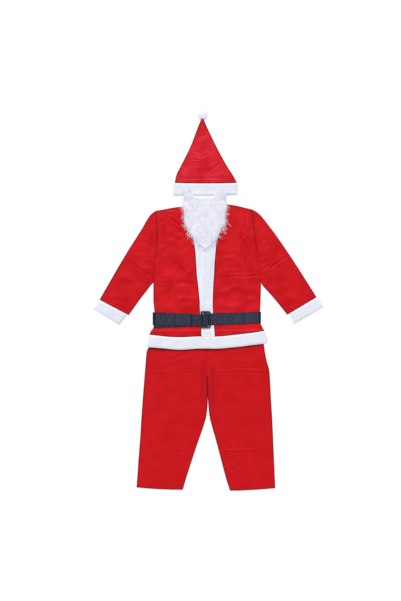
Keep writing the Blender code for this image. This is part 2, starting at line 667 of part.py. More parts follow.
def hat(red, white, collection):
    low, high = edge_line(CAP, "y", "right"), edge_line(CAP, "y", "left")

    def base(x):
        across = (x - CAP_BAND["outer_x"][0]) / (CAP_BAND["inner_x"][0] - CAP_BAND["outer_x"][0])
        return CAP_BASE - CAP_BOW[0] * math.sin(math.pi * min(max(across, 0.0), 1.0))

    def plan(u, v):
        return inside(u, v, low, high, lambda x: CAP_TIP, base)

    def rise(x, y):
        room = (high(y) - low(y)) / 2
        return 3.2 * smooth(min(x - low(y), high(y) - x) / min(LAYER_SIDE, room)) * smooth(room / 40.0)

    def front(u, v, side):
        x, y = plan(u, v)
        return x, y, cap_lift(y) + CLOTH + GAP + rise(x, y) + CLOTH * side

    def back(u, v, side):
        x, y = plan(u, v)
        return x, y, cap_lift(y) + CLOTH * side

    rows = [0, 0.03, 0.07, 0.12, 0.17, 0.24, 0.36, 0.5, 0.64, 0.78, 0.9, 1]
    cloth("hat_front", front, [0, 0.04, 0.14, 0.3, 0.5, 0.7, 0.86, 0.96, 1], rows, red, collection)
    cloth("hat_back", back, [0, 1], rows, red, collection)

    def band(station, v, side):
        x, y, z, t = tube_point(station, v, side, CAP_BAND, TRIM, 3.0)
        return x, y - (CAP_BOW[0] + (CAP_BOW[1] - CAP_BOW[0]) * v) * math.sin(math.pi * t), z

    cloth("hat_band", band, list(range(len(RING))), [0, 0.15, 0.5, 0.85, 1], white, collection, wrapped=True)


def pompom(material, collection):
    """A squashed ball of yarn whose core grows a three-sided lock on each face the hat's tip leaves free."""
    bm = bmesh.new()
    bmesh.ops.create_icosphere(bm, subdivisions=2, radius=POMPOM_CORE)
    for vert in bm.verts:
        vert.co.z *= POMPOM_FLAT
    grown = []
    for face in bm.faces[:]:
        centre = face.calc_center_median()
        hat_tip = centre.y < -0.3 * POMPOM_CORE and abs(centre.x) < 7.0 and centre.z > -0.5
        if not hat_tip:
            grown.append(face)
    for number, face in enumerate(grown):
        centre = face.calc_center_median()
        outward = Vector((centre.x, centre.y, centre.z / POMPOM_FLAT)).normalized()
        reach = POMPOM_REACH - POMPOM_UNEVEN * (0.5 + 0.5 * math.sin(number * 2.4))
        for share, thin in LOCK_TAPER:
            face = bmesh.ops.extrude_discrete_faces(bm, faces=[face])["faces"][0]
            level = POMPOM_CORE + (reach - POMPOM_CORE) * share
            target = Vector((outward.x * level, outward.y * level, outward.z * level * POMPOM_FLAT))
            middle = face.calc_center_median()
            for vert in face.verts:
                vert.co = target + (vert.co - middle) * thin
    for vert in bm.verts:
        vert.co += Vector(POMPOM_AT)
        vert.co.z = max(vert.co.z, FLOOR_CLEARANCE)
    add("pompom", bm, material, collection)


# Beard


def beard_under(y):
    return follow(BEARD_UNDER, "y", "z", y)


def beard_side(y, column):
    return follow(BEARD, "y", column, y)


def beard(material, collection):
    """A thick pad of curly fibre with two ears, on an underside that follows what it lies on."""

    def place(u, v, side):
        top = follow(BEARD_TOP, "u", "y", u)
        y = top + (BEARD["y"][-1] - top) * v
        low, high = beard_side(y, "right"), beard_side(y, "left")
        x = low + (high - low) * u
        across = (1.0 - abs(2 * u - 1) ** 3) ** 0.6
        crown = follow(BEARD_CREST, "y", "z", y) - beard_under(y) - BEARD_EDGE
        tufts = math.sin(x / 8.0 + 0.8 * math.sin(y / 21.0)) * math.sin(y / 10.0 + x / 26.0)
        crown += tufts * smooth((crown - 1.0) / 6.0)
        return x, y, beard_under(y) + (BEARD_EDGE + max(crown, 0.0) * across) * side

    columns = [0, 0.03, 0.08, 0.14, 0.2, 0.245, 0.265, 0.285, 0.34, 0.42, 0.5]
    columns += [1 - u for u in reversed(columns[:-1])]
    rows = [0, 0.03, 0.07, 0.12, 0.17, 0.22, 0.28, 0.34, 0.4, 0.46]
    rows += [0.52, 0.58, 0.64, 0.7, 0.76, 0.82, 0.87, 0.92, 0.96, 1]
    cloth("beard", place, columns, rows, material, collection)


def fringe(name, column, outward, material, collection):
    """Curly locks standing out from a narrow strip that runs down one side of the beard."""
    top, bottom = STRIP_SPAN

    def edge(y):
        return beard_side(y, column) + outward * (GAP * 2 + STRIP_WIDTH / 2)

    def strip(u, v, side):
        y = top + (bottom - top) * v
        return edge(y) + (u - 0.5) * STRIP_WIDTH, y, beard_under(y) + 0.2 + 3.4 * side

    obj = cloth(name, strip, [0, 1], between(0, 1, 14), material, collection)
    curve = bpy.data.curves.new(name + "_locks", "CURVE")
    curve.dimensions = "3D"
    curve.bevel_depth = LOCK_RADIUS * MM
    curve.bevel_resolution = 0
    curve.use_fill_caps = True
    for number in range(LOCKS_A_SIDE):
        y = top - 4.0 + (bottom - top + 8.0) * number / (LOCKS_A_SIDE - 1)
        length = LOCK_LENGTH[0] + LOCK_LENGTH[1] * math.sin(number * 2.1)
        lean = 0.75 + 0.25 * math.sin(number * 0.9)
        root = Vector((edge(y), y, beard_under(y) + 1.9))
        spline = curve.splines.new("POLY")
        spline.points.add(3)
        for point, share in zip(spline.points, between(0.0, 1.0, 4)):
            out = outward * length * math.sin(lean) * share
            down = -length * math.cos(lean) * share * (0.6 + 0.4 * share)
            sag = -LOCK_SAG * share * share
            spot = root + Vector((out - CENTRE[0], down - CENTRE[1], sag))
            point.co = (*(spot * MM), 1.0)
            point.radius = 1.0 - 0.62 * share
    shape = bpy.data.objects.new(name + "_locks", curve)
    collection.objects.link(shape)
    bpy.context.view_layer.update()
    mesh = bpy.data.meshes.new_from_object(shape.evaluated_get(bpy.context.evaluated_depsgraph_get()))
    bpy.data.objects.remove(shape)
    return obj, mesh


def fuse(obj, mesh, cutters):
    """Joins the locks' roots into their strip."""
    bm = bmesh.new()
    bm.from_mesh(mesh)
    bmesh.ops.remove_doubles(bm, verts=bm.verts[:], dist=1e-6)
    bmesh.ops.recalc_face_normals(bm, faces=bm.faces[:])
    bm.to_mesh(mesh)
    bm.free()
    locks = bpy.data.objects.new(obj.name + "_locks", mesh)
    cutters.objects.link(locks)
    locks.hide_render = True
    locks.display_type = "WIRE"
    union = obj.modifiers.new("fuse the roots", "BOOLEAN")
    union.operation = "UNION"
    union.object = locks


def main():
    for obj in list(bpy.data.objects):
        bpy.data.objects.remove(obj)
    suit = bpy.data.collections.new("santa_suit")
    cutters = bpy.data.collections.new("cutters")
    for collection in (suit, cutters):
        bpy.context.scene.collection.children.link(collection)
    red = look("red_cloth", (0.60, 0.011, 0.018), 0.85)
    white = look("white_trim", (0.80, 0.83, 0.88), 0.9)
    fur = look("beard_fibre", (0.82, 0.84, 0.88), 0.85)
    webbing = look("belt_webbing", (0.037, 0.042, 0.07), 0.65)
    plastic = look("buckle_plastic", (0.012, 0.014, 0.02), 0.35)
    jacket(red, white, suit)
    sleeves(red, white, suit)
    trousers(red, suit)
    strap(webbing, suit)
    buckle(plastic, suit, cutters)
    hat(red, white, suit)
    pompom(fur, suit)
    beard(fur, suit)
    for name, column, outward in (("beard_fringe_right", "right", -1), ("beard_fringe_left", "left", 1)):
        obj, mesh = fringe(name, column, outward, fur, suit)
        fuse(obj, mesh, cutters)


main()
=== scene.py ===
# %% [markdown]
# # A child's Santa suit, laid out flat
#
# The suit is a pointed hat with a pompom, a beard of curly fibre, a jacket with white bands, a belt and
# trousers. All of it lies face up on a floor, so nothing moves, and every piece rides on the one body of
# the frame. The frame's plain solids give the sizes. Each piece here follows the same sections, and adds
# what cloth has: round rims, creases, puckered seams, nap, stitches and fibre.

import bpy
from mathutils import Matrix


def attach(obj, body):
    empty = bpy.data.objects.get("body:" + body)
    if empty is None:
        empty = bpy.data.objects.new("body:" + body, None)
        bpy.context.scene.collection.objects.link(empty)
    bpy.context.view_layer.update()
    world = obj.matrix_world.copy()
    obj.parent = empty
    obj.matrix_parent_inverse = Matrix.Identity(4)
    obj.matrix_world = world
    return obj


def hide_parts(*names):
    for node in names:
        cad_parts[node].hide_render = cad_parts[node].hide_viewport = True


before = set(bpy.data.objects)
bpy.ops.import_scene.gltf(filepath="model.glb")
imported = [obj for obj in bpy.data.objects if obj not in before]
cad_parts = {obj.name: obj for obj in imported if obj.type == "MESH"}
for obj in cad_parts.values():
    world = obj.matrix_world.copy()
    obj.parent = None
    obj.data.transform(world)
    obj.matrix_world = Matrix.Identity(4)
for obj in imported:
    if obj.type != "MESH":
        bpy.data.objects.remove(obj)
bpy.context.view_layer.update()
print("nodes in the frame:", len(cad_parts))

# %% Modules and units
import math

import bmesh
import bpy
import numpy as np

MM = 0.001
CENTRE = (-1.0, -1.23)  # middle of the laid-out suit on the plan, in millimetres, which is the frame's origin
RED_WALL = 1.5  # walls of the red cloth, the white trim and the belt's webbing
TRIM_WALL = 2.0
WEB_WALL = 1.6
GAP = 0.3  # between layers, and along seams

# %% [markdown]
# ## Camera, floor and light
#
# A suit laid out for its picture is seen from straight above. The camera stands six metres up, so that the
# beard, three centimetres high, hardly grows in the view. A sheet of pale paper is the floor. One wide lamp
# stands towards the hat and a little to the wearer's right, and the sky fills the shadows, as a soft studio
# tent does.

# %% Camera
EYE = (-0.0322, 0.0013, 6.0)
SEEN = 2.387  # length of floor that the picture's height takes in
SENSOR = 36.0
CLOTH_LEVEL = 0.006


def in_scene(name, data):
    """An object made of that data, in the scene."""
    made = bpy.data.objects.new(name, data)
    bpy.context.scene.collection.objects.link(made)
    return made


camera_data = bpy.data.cameras.new("overhead_camera")
camera_data.sensor_width = SENSOR
camera_data.lens = SENSOR * (EYE[2] - CLOTH_LEVEL) / SEEN
camera = in_scene("overhead_camera", camera_data)
camera.location = EYE
bpy.context.scene.camera = camera
print("lens", round(camera_data.lens, 1), "mm")

# %% Light
SKY = 0.50
SUN_STRENGTH = 2.05
SUN_ANGLE = 24.0  # degrees across, as wide as a big soft box looks from the floor
SUN_FROM = (-0.30, 0.95, 1.0)

lamp_data = bpy.data.lights.new("soft_box", "SUN")
lamp_data.energy = SUN_STRENGTH
lamp_data.angle = math.radians(SUN_ANGLE)
lamp = in_scene("soft_box", lamp_data)
lamp.location = SUN_FROM
lamp.rotation_euler = (-lamp.location).to_track_quat("-Z", "Y").to_euler()
world = bpy.data.worlds.new("pale_tent")
world.use_nodes = True
sky = world.node_tree.nodes["Background"].inputs
sky["Color"].default_value = (1.0, 1.0, 1.0, 1.0)
sky["Strength"].default_value = SKY
bpy.context.scene.world = world
bpy.context.scene.view_settings.view_transform = "Standard"
print("lamp", SUN_STRENGTH, "sky", SKY)

# %% Floor
FLOOR_SIDE = 12.0
FLOOR_BELOW = 0.0004
PAPER = {
    "Base Color": (0.28, 0.28, 0.28, 1.0), "Roughness": 1.0, "Specular IOR Level": 0.0,
    "Emission Color": (1.0, 1.0, 1.0, 1.0), "Emission Strength": 0.80,
}

corner = FLOOR_SIDE / 2
floor_mesh = bpy.data.meshes.new("paper_floor")
floor_mesh.from_pydata(
    [(x * corner, y * corner, -FLOOR_BELOW) for x, y in ((-1, -1), (1, -1), (1, 1), (-1, 1))],
    [],
    [(0, 1, 2, 3)],
)
paper_floor = in_scene("paper_floor", floor_mesh)
paper = bpy.data.materials.new("white_paper")
paper.use_nodes = True
for title, value in PAPER.items():
    paper.node_tree.nodes["Principled BSDF"].inputs[title].default_value = value
floor_mesh.materials.append(paper)
print("floor", FLOOR_SIDE, "m square")

# %% [markdown]
# ## Sections of the suit
#
# A pattern cutter describes a garment by a few widths and lengths. These tables do the same on a plan in
# millimetres: +X is the wearer's left, +Y points to the hat. A smooth curve through a table's rows gives
# every point between them. They are the frame's own sections, so each surface stays on its solid.


# %% Tables with named columns
def table(names, *rows):
    """A short table with named columns: one row for each section or crease."""
    return {name: np.array([row[i] for row in rows], float) for i, name in enumerate(names.split())}


# %% Jacket sections
BAND_WIDTH = 51.0  # of the front band on the wearer's left
UNDER_BAND_WIDTH = 49.0  # and on the right, which lies under it
HEM_WIDTH = 54.0  # of the hem band, nearly: its grid and the painted highlight on its seamed edge go by it
HEM_LEVEL = -144.0  # where the front bands run into the hem band
HEM_LIFT = 0.5  # of the hem band's front over its back
LAYER_SIDE = 45.0  # how far in from a side seam the upper layer has risen
FRONT_ABOVE_BAND = 2.7  # the wearer's left front lies this much higher, over the right front's band
BELT_UNDER = 1.9  # the jacket's back passes over the belt at this height
WAIST_UNDER = 5.6  # and over the trousers' waist at this one
OVER_BELT_FROM = 4.0  # below these levels it does so
OVER_WAIST_FROM = -113.0
HEM_SEAM = 0.4
BELT_LEVEL = -76.0
LEAST_GAP = 0.12  # a front never sinks closer than this to its back
ARMHOLE = 0.12  # room between a sleeve and the body
ARMHOLE_SHADE = 2.7  # the least rim distance that the painted rim shade sees there
UNDERARM = 76.0  # levels of an armhole's ends
SHOULDER_END = 348.0
BODY_RIGHT = table(
    "y x", (354, -211.4), (302, -207.4), (262, -205.4), (202, -209.4), (130, -216.2), (70, -220.6),
    (2, -220.6), (-30, -217.6), (-46, -216.4), (-104, -218.2), (-121, -230.2), (-136, -236.8),
)
BODY_LEFT = table(
    "y x", (360, 171.8), (302, 178.6), (242, 186.6), (162, 195.8), (98, 203.8), (70, 207.4), (2, 205.6),
    (-30, 203.8), (-46, 203.4), (-88, 203.6), (-104, 212.0), (-121, 221.0),
)
FRONT_RIGHT = table(
    "y x", (373, -97.4), (338, -85.4), (298, -72.4), (242, -60.8), (194, -53.4), (141, -49.8), (101, -47.4),
    (62, -42.6), (22, -38.6), (-18, -35.2), (-110, -30.6), (-146, -29.0),
)
FRONT_LEFT = table(
    "y x", (382, 66.6), (346, 57.6), (298, 42.8), (242, 30.4), (181, 25.4), (141, 22.2), (101, 20.4),
    (62, 17.6), (22, 16.0), (-18, 15.0), (-46, 16.4), (-110, 20.8), (-146, 23.8),
)
SHOULDERS = table(
    "x y", (-212, 356.4), (-97.4, 373), (-80, 366), (-15, 361), (48, 369), (66.6, 382), (172, 362.4),
)
FRONT_NECK = table("x y", (-97.4, 373), (-60, 352), (-25, 345), (5, 347), (35, 358), (66.6, 382))
HEM = table(
    "x seam edge", (-244, -135.0, -184.8), (-193, -140.4, -188.9), (-152, -144.6, -192.6),
    (-113, -145.6, -195.2), (-33, -142.4, -190.4), (27, -142.8, -190.9), (107, -135.8, -184.8),
    (167, -128.8, -177.4), (225, -120.2, -171.0),
)
HEM_RIGHT = table("y x", (-134, -236.6), (-160, -243.2), (-188, -249.2))
HEM_LEFT = table("y x", (-119, 221.8), (-140, 230.0), (-158, 234.4), (-176, 224.8))
BODY_RISE = table(
    "y inside edge", (390, 0.4, 0.0), (354, 1.4, 0.0), (330, 3.0, 1.4), (260, 3.4, 2.8), (150, 3.4, 2.6),
    (70, 3.3, 0.0), (0, 3.2, 0.0), (-44, 2.2, 0.0), (-108, 2.2, 0.0), (-150, 2.6, 0.2), (-200, 2.6, 0.6),
)

# %% Sleeve and cuff sections
TUBE = "v outer_x outer_y inner_x inner_y"
SLEEVE_RIGHT = table(
    TUBE, (0.0, -211.8, 356.4, -221.0, 70), (0.06, -231.6, 341.2, -226.4, 65.2),
    (0.26, -268.6, 281.4, -246.0, 40.0), (0.5, -332.4, 180, -269.4, 10), (1.0, -434.8, 3.0, -318.8, -58.6),
)
SLEEVE_LEFT = table(
    TUBE, (0.0, 172.2, 362.4, 207.8, 70), (0.06, 195.6, 348.0, 211.4, 62.6),
    (0.26, 241.0, 294.6, 233.9, 36.9), (0.5, 316.4, 188.0, 261.0, 6), (1.0, 428.6, 13.1, 311.8, -56.9),
)
CUFF_RIGHT = table(TUBE, (0.0, -435.0, 2.7, -323.6, -56.4), (1.0, -460.2, -32.4, -355.4, -97.6))
CUFF_LEFT = table(TUBE, (0.0, 428.8, 12.8, 319.6, -52.7), (1.0, 458.2, -23.8, 338.4, -94.1))

# %% Trouser sections
WAIST_TOP = -128.0
WAIST_SEAM = -153.0
WAIST_WALL = 2.4
TROUSER_SIDES = table(
    "y right left", (-128, -207.0, 191.0), (-172, -231.0, 218.0), (-206, -247.6, 223.2),
    (-240, -250.8, 230.0), (-280, -254.0, 240.6), (-386, -262.4, 246.8), (-453, -267.4, 250.8),
    (-542, -272.8, 255.2), (-630, -279.6, 259.0), (-719, -285.8, 262.8), (-756, -288.4, 264.8),
)
CENTRE_SEAM = table("y x", (-128, -13.4), (-386, -4.4))
INSEAMS = table(
    "y right left", (-386, -4.4, -4.4), (-410, -4.8, -2.6), (-453, -9.0, 1.4), (-497, -20.4, 11.4),
    (-542, -36.0, 24.4), (-630, -65.6, 47.8), (-719, -94.0, 71.6), (-756, -104.4, 84.0),
)
TROUSER_HEM = table(
    "x y", (-290, -742.8), (-200, -749.4), (-104, -752.4), (85, -755.8), (176, -752.2), (265, -745.8),
)
TROUSER_RISE = table(
    "y inside centre", (-128, 0.0, 1.0), (-196, 0.6, 1.0), (-250, 3.0, 0.7), (-350, 3.4, 0.6),
    (-404, 3.4, 0.0), (-740, 3.4, 0.0),
)

# %% Hat and beard sections
CAP_BASE = 467.4
HAT_BAND_WIDTH = 49.0
CAP_BOW = (2.4, 3.6)  # how far the band's upper and lower edges bow down
CAP_TIP = 721.0
TIP_LIFT = 13.0  # the hat's tip lies up on the pompom
LIFT_START = 668.0
CAP = table(
    "y right left", (721, -28.6, -21.8), (690, -43.0, -8.0), (658, -55.2, 7.6), (626, -67.0, 22.8),
    (594, -81.4, 39.2), (562, -97.4, 56.6), (530, -113.8, 74.8), (498, -129.2, 95.6), (465, -136.4, 113.4),
)
CAP_BAND = table(TUBE, (0.0, -142.0, 467.1, 114.8, 467.1), (1.0, -144.6, 416.8, 114.4, 419.8))
BEARD = table(
    "y right left", (428, -98.2, 65.0), (402, -101.8, 69.4), (376, -103.6, 71.0), (350, -94.6, 62.6),
    (322, -95.0, 62.4), (308, -92.4, 63.6), (296, -87.6, 53.6), (276, -76.0, 40.4), (256, -65.0, 32.0),
    (238, -51.0, 24.0), (220, -33.0, 5.6), (207, -18.0, -9.0),
)
BEARD_TOP = table(
    "u y", (0.0, 423), (0.035, 428), (0.16, 428), (0.21, 424), (0.245, 409), (0.5, 406.4), (0.72, 409),
    (0.75, 424), (0.8, 428), (0.965, 428), (1.0, 423),
)
BEARD_UNDER = table(
    "y z", (430, 9.3), (411, 9.3), (401, 1.6), (393, 1.6), (385, 6.9), (345, 10.6), (200, 10.8),
)
BEARD_CREST = table(
    "y z", (430, 13.4), (412, 14.6), (380, 17.4), (345, 20.6), (300, 22.4), (262, 21.0), (236, 17.6),
    (218, 14.6), (205, 13.2),
)

# %% Belt sections
STRAP = table(
    "x layer top bottom", (-65.4, 2, -52.4, -103.2), (-90.0, 2, -51.6, -102.4), (-120.0, 2, -50.6, -101.4),
    (-150.0, 2, -49.4, -100.4), (-180.0, 2, -48.0, -99.2), (-196.0, 2, -47.4, -98.6),
    (-210.0, 2, -47.0, -98.2), (-219.2, 2, -46.8, -98.0), (-219.2, 0, -46.8, -98.0),
    (-100.0, 0, -48.0, -98.0), (100.0, 0, -47.0, -96.0), (204.2, 0, -45.0, -91.0), (204.2, 1, -44.2, -90.2),
    (192.0, 1, -44.6, -90.8), (178.0, 1, -45.0, -91.4), (158.0, 1, -46.0, -92.4), (100.0, 1, -48.2, -95.4),
    (62.0, 1, -49.4, -96.6), (52.0, 1, -49.6, -96.8), (36.0, 1, -50.2, -97.2), (23.0, 1, -50.8, -97.6),
    (0.6, 1, -52.0, -98.6), (-8.4, 3, -53.0, -99.6), (-17.8, 3, -53.8, -100.4), (-27.4, 1, -54.6, -101.2),
    (-42.0, 1, -55.0, -101.6), (-60.0, 1, -54.6, -102.0), (-76.0, 1, -54.8, -102.6),
    (-122.0, 1, -56.6, -105.4), (-142.0, 1, -58.0, -107.3), (-170.0, 1, -58.2, -107.6),
    (-190.0, 1, -58.4, -107.9), (-206.0, 1, -58.8, -108.6), (-219.2, 1, -59.2, -109.4),
)
STRAP_PILE = table(
    "x height", (-210, 1.5), (-62, 1.5), (-42, 4.8), (22, 4.8), (44, 3.8), (62, 1.7), (210, 1.5),
)
BUCKLE_SIZE = (40.4, 66.8)
BUCKLE_AT = (-12.8, -75.4)
BUCKLE_CORNERS = (3.0, 9.0, 9.0, 3.0)
BUCKLE_WALL = 4.0
BUCKLE_SLOT = (10.4, 53.8)
SLOT_PLACES = (-9.9, 9.1)  # from the buckle's middle
SLOT_CORNER = 1.6
BAR_WIDTH = 14.0  # what is lowered between the slots
BAR_WALL = 1.6
OVER_BAR = 3.9  # the strap's rise where it crosses the bar
print("sections of the jacket's sides:", len(BODY_RIGHT["y"]), "and", len(BODY_LEFT["y"]))

# %% [markdown]
# ## From a table to a surface
#
# Two small helpers do the pattern work. `follow` runs a curve through a table without overshooting its
# rows, and `spread` lays a grid between four edges, as a cutter spreads cloth between its seams.


# %% Curves through tables
def smooth(t):
    """0 below 0, 1 above 1 and an even S between them."""
    t = np.clip(t, 0.0, 1.0)
    return t * t * (3.0 - 2.0 * t)


def follow(source, key, column, at):
    """A column of a table at any places, on a smooth curve through its rows that never overshoots them."""
    order = np.argsort(source[key])
    x, y = source[key][order], source[column][order]
    step = np.diff(x)
    slope = np.diff(y) / step
    turn = slope[:-1] * slope[1:]
    mean = np.where(turn > 0, 2.0 * turn / np.where(turn > 0, slope[:-1] + slope[1:], 1.0), 0.0)
    tangent = np.concatenate([slope[:1], mean, slope[-1:]])
    at = np.clip(at, x[0], x[-1])
    i = np.clip(np.searchsorted(x, at) - 1, 0, len(step) - 1)
    t = (at - x[i]) / step[i]
    start = y[i] + t * t * (3 - 2 * t) * (y[i + 1] - y[i])
    return start + step[i] * t * (1 - t) * ((1 - t) * tangent[i] - t * tangent[i + 1])


def edge_of(source, key, column):
    """A column of a table as a function of place, for the edge of a panel."""
    return lambda at: follow(source, key, column, at)


def straight(value):
    """An edge at one level."""
    return lambda at: value + 0 * at


def beside(edge, by):
    """An edge moved by a few millimetres."""
    return lambda at: edge(at) + by


# %% Grid stations
RIM = np.array([0.0, 0.25, 0.75, 1.5, 2.6, 4.2])  # distances from a rim, close enough to round it


def stations(size, step):
    """Places from 0 to 1 over a stretch of cloth: close together at both rims and even between them."""
    count = max(int(round((size - 2 * RIM[-1]) / step)), 1)
    middle = np.linspace(RIM[-1], size - RIM[-1], count + 1)
    return np.concatenate([RIM[:-1], middle, (size - RIM[:-1])[::-1]]) / size


def spread(width, length, step, low, high, top, bottom):
    """A panel's grid of plan points: low and high give x at a level y, top and bottom give y at x."""
    u, v = np.meshgrid(stations(width, step), stations(length, step))
    ends = []
    for edge in (top, bottom):
        y = edge(np.zeros_like(u))
        for _ in range(5):
            y = edge(low(y) + (high(y) - low(y)) * u)
        ends.append(y)
    y = ends[0] + (ends[1] - ends[0]) * v
    return low(y) + (high(y) - low(y)) * u, y


def rim_distance(x, y):
    """How far each grid point lies from the nearest rim of its panel, along its own row and column."""
    found = []
    for axis in (0, 1):
        steps = np.hypot(np.diff(x, axis=axis), np.diff(y, axis=axis))
        pad = [(0, 0), (0, 0)]
        pad[axis] = (1, 0)
        run = np.pad(steps.cumsum(axis=axis), pad)
        found += [run, run.take([-1], axis=axis) - run]
    return np.minimum.reduce(found)


def rounded(distance, wall):
    """Share of the wall's half thickness at a distance from a rim, for a round rim."""
    return np.sqrt(1.0 - (1.0 - np.clip(2.0 * distance / wall, 0.0, 1.0)) ** 2)


print("stations over 100 mm:", len(stations(100.0, 4.0)))

# %% [markdown]
# ## Walls of cloth
#
# Cloth has a thickness, and its cut or folded edge is round. Solidify would give each panel a square edge,
# so the wall is built as two grids of points that meet along their borders, where the thickness falls to
# nothing on a quarter circle. Each mesh keeps the distance to its rim as the attribute `edge`, which the
# materials read for a painted shade along its rims, or on white trim a painted highlight.


# %% Wall builder
def quads(index, wrapped):
    """Corners of the faces between neighbouring rows and columns of a grid of indices."""
    if wrapped:
        index = np.concatenate([index, index[:, :1]], axis=1)
    corners = (index[:-1, :-1], index[1:, :-1], index[1:, 1:], index[:-1, 1:])
    return np.stack(corners, axis=-1).reshape(-1, 4)


def wall(name, top, bottom, material, edge, wrapped=False, weave=None):
    """A closed wall between two grids of plan points, each of x, y and z, that share their borders."""
    rows, columns = top[0].shape
    upper = np.arange(rows * columns).reshape(rows, columns)
    inner = (slice(1, -1), slice(None)) if wrapped else (slice(1, -1), slice(1, -1))
    lower = upper.copy()
    lower[inner] = rows * columns + np.arange(lower[inner].size).reshape(lower[inner].shape)
    points = np.concatenate(
        [np.stack([a.ravel() for a in top], axis=1), np.stack([a[inner].ravel() for a in bottom], axis=1)]
    )
    points = (points - (CENTRE[0], CENTRE[1], 0.0)) * MM
    faces = np.concatenate([quads(upper, wrapped), quads(lower, wrapped)[:, ::-1]])
    a, b, c, d = (points[faces[:, i]] for i in range(4))
    if np.einsum("ij,ij->i", a + b + c + d, np.cross(c - a, d - b)).sum() < 0:
        faces = faces[:, ::-1]
    mesh = bpy.data.meshes.new(name)
    mesh.from_pydata(points.tolist(), [], faces.tolist())
    values = np.concatenate([edge.ravel(), edge[inner].ravel()]) * MM
    mesh.attributes.new("edge", "FLOAT", "POINT").data.foreach_set("value", values.astype(np.float32))
    if weave is not None:
        along = np.stack([np.concatenate([part.ravel(), part[inner].ravel()]) for part in weave], axis=1) * MM
        loops = np.array([loop.vertex_index for loop in mesh.loops])
        uv = mesh.uv_layers.new(name="weave")
        uv.data.foreach_set("uv", along[loops].astype(np.float32).ravel())
    mesh.shade_smooth()
    mesh.materials.append(material)
    return in_scene(name, mesh)


def panel(name, x, y, middle, thick, material, painted_rim_distance=None):
    """A flat panel of cloth: a wall of even thickness round the height of its middle."""
    edge = rim_distance(x, y)
    half = thick / 2 * rounded(edge, thick)
    painted_rim_distance = edge if painted_rim_distance is None else painted_rim_distance
    return wall(name, (x, y, middle + half), (x, y, middle - half), material, painted_rim_distance)


# %% Area of a cut
def outline_area(px, py):
    """Area inside an outline of plan points, in square metres."""
    return abs(float(np.sum(px * np.roll(py, -1) - py * np.roll(px, -1)))) / 2 * MM * MM


def cut_area(x, y):
    """Area of a panel's cut, inside the rim of its grid."""
    return outline_area(*(np.concatenate([a[0], a[1:, -1], a[-1, -2::-1], a[-2:0:-1, 0]]) for a in (x, y)))


def tube_area(source):
    """Area of a flattened tube's cut, all round it."""
    rim = (np.concatenate([source["outer_" + a], source["inner_" + a][::-1]]) for a in "xy")
    return 2 * outline_area(*rim)


# %% Keeping a piece
def keep(piece, *nodes, slot):
    """The piece rides on the suit's one body and stands for its solids."""
    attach(piece, "root")
    if nodes:
        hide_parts(*nodes)
    print(piece.name, len(piece.data.polygons), "faces")
    return piece


def lay(piece, node, slot, flat, area, *rests_on, held="laid", row=None):
    """Keeps a piece of cloth; its cut, how it is held, what it lies on and the stitches sewn in it are not
    used.
    """
    keep(piece, node, slot=slot)


# %% [markdown]
# ## Creases
#
# The suit came out of a bag, so it keeps sharp packing folds across it and soft drags between them.
# Simulation would make others, and these have known places. So each crease is a row of a table: a line, how
# far it bends, how high it stands and how wide it is. A crease is a low ridge with a shallow trough along
# each side, or the reverse where its height is negative, and it fades out at both ends. A sum of a few slow
# waves keeps what lies between them from being flat.


# %% Crease helpers
def creases(x, y, rows):
    """Height that a table of creases adds at plan points."""
    total = np.zeros_like(x)
    for x1, y1, x2, y2, bend, height, width in zip(*rows.values()):
        run = math.hypot(x2 - x1, y2 - y1)
        ax, ay = (x2 - x1) / run, (y2 - y1) / run
        s = ((x - x1) * ax + (y - y1) * ay) / run
        off = np.abs((y - y1) * ax - (x - x1) * ay - 4 * bend * s * (1 - s)) / width
        fade = smooth(s / 0.3) * smooth((1 - s) / 0.3)
        total += height * fade * (np.exp(-off * off) - 0.45 * np.exp(-(((off - 2.2) / 1.3) ** 2)))
    return total


def slow_waves(x, y, seed, size):
    """Gentle hills of about that size over a piece, mostly between -1 and 1."""
    dice = np.random.default_rng(seed)
    total = np.zeros_like(x)
    for _ in range(9):
        turn, phase, stretch = dice.uniform(0, math.pi), dice.uniform(0, 2 * math.pi), dice.uniform(0.6, 1.7)
        wave = (x * math.cos(turn) + y * math.sin(turn)) / (size * stretch)
        total += np.sin(2 * math.pi * wave + phase)
    return total / 3.6


def pucker(edge, x, y, seed):
    """Small gathers that stitching draws in along a seam."""
    ripple = slow_waves(x, y, seed, 15.0)
    return 0.3 * ripple * np.exp(-edge / 8.0) * smooth(edge / 2.5)


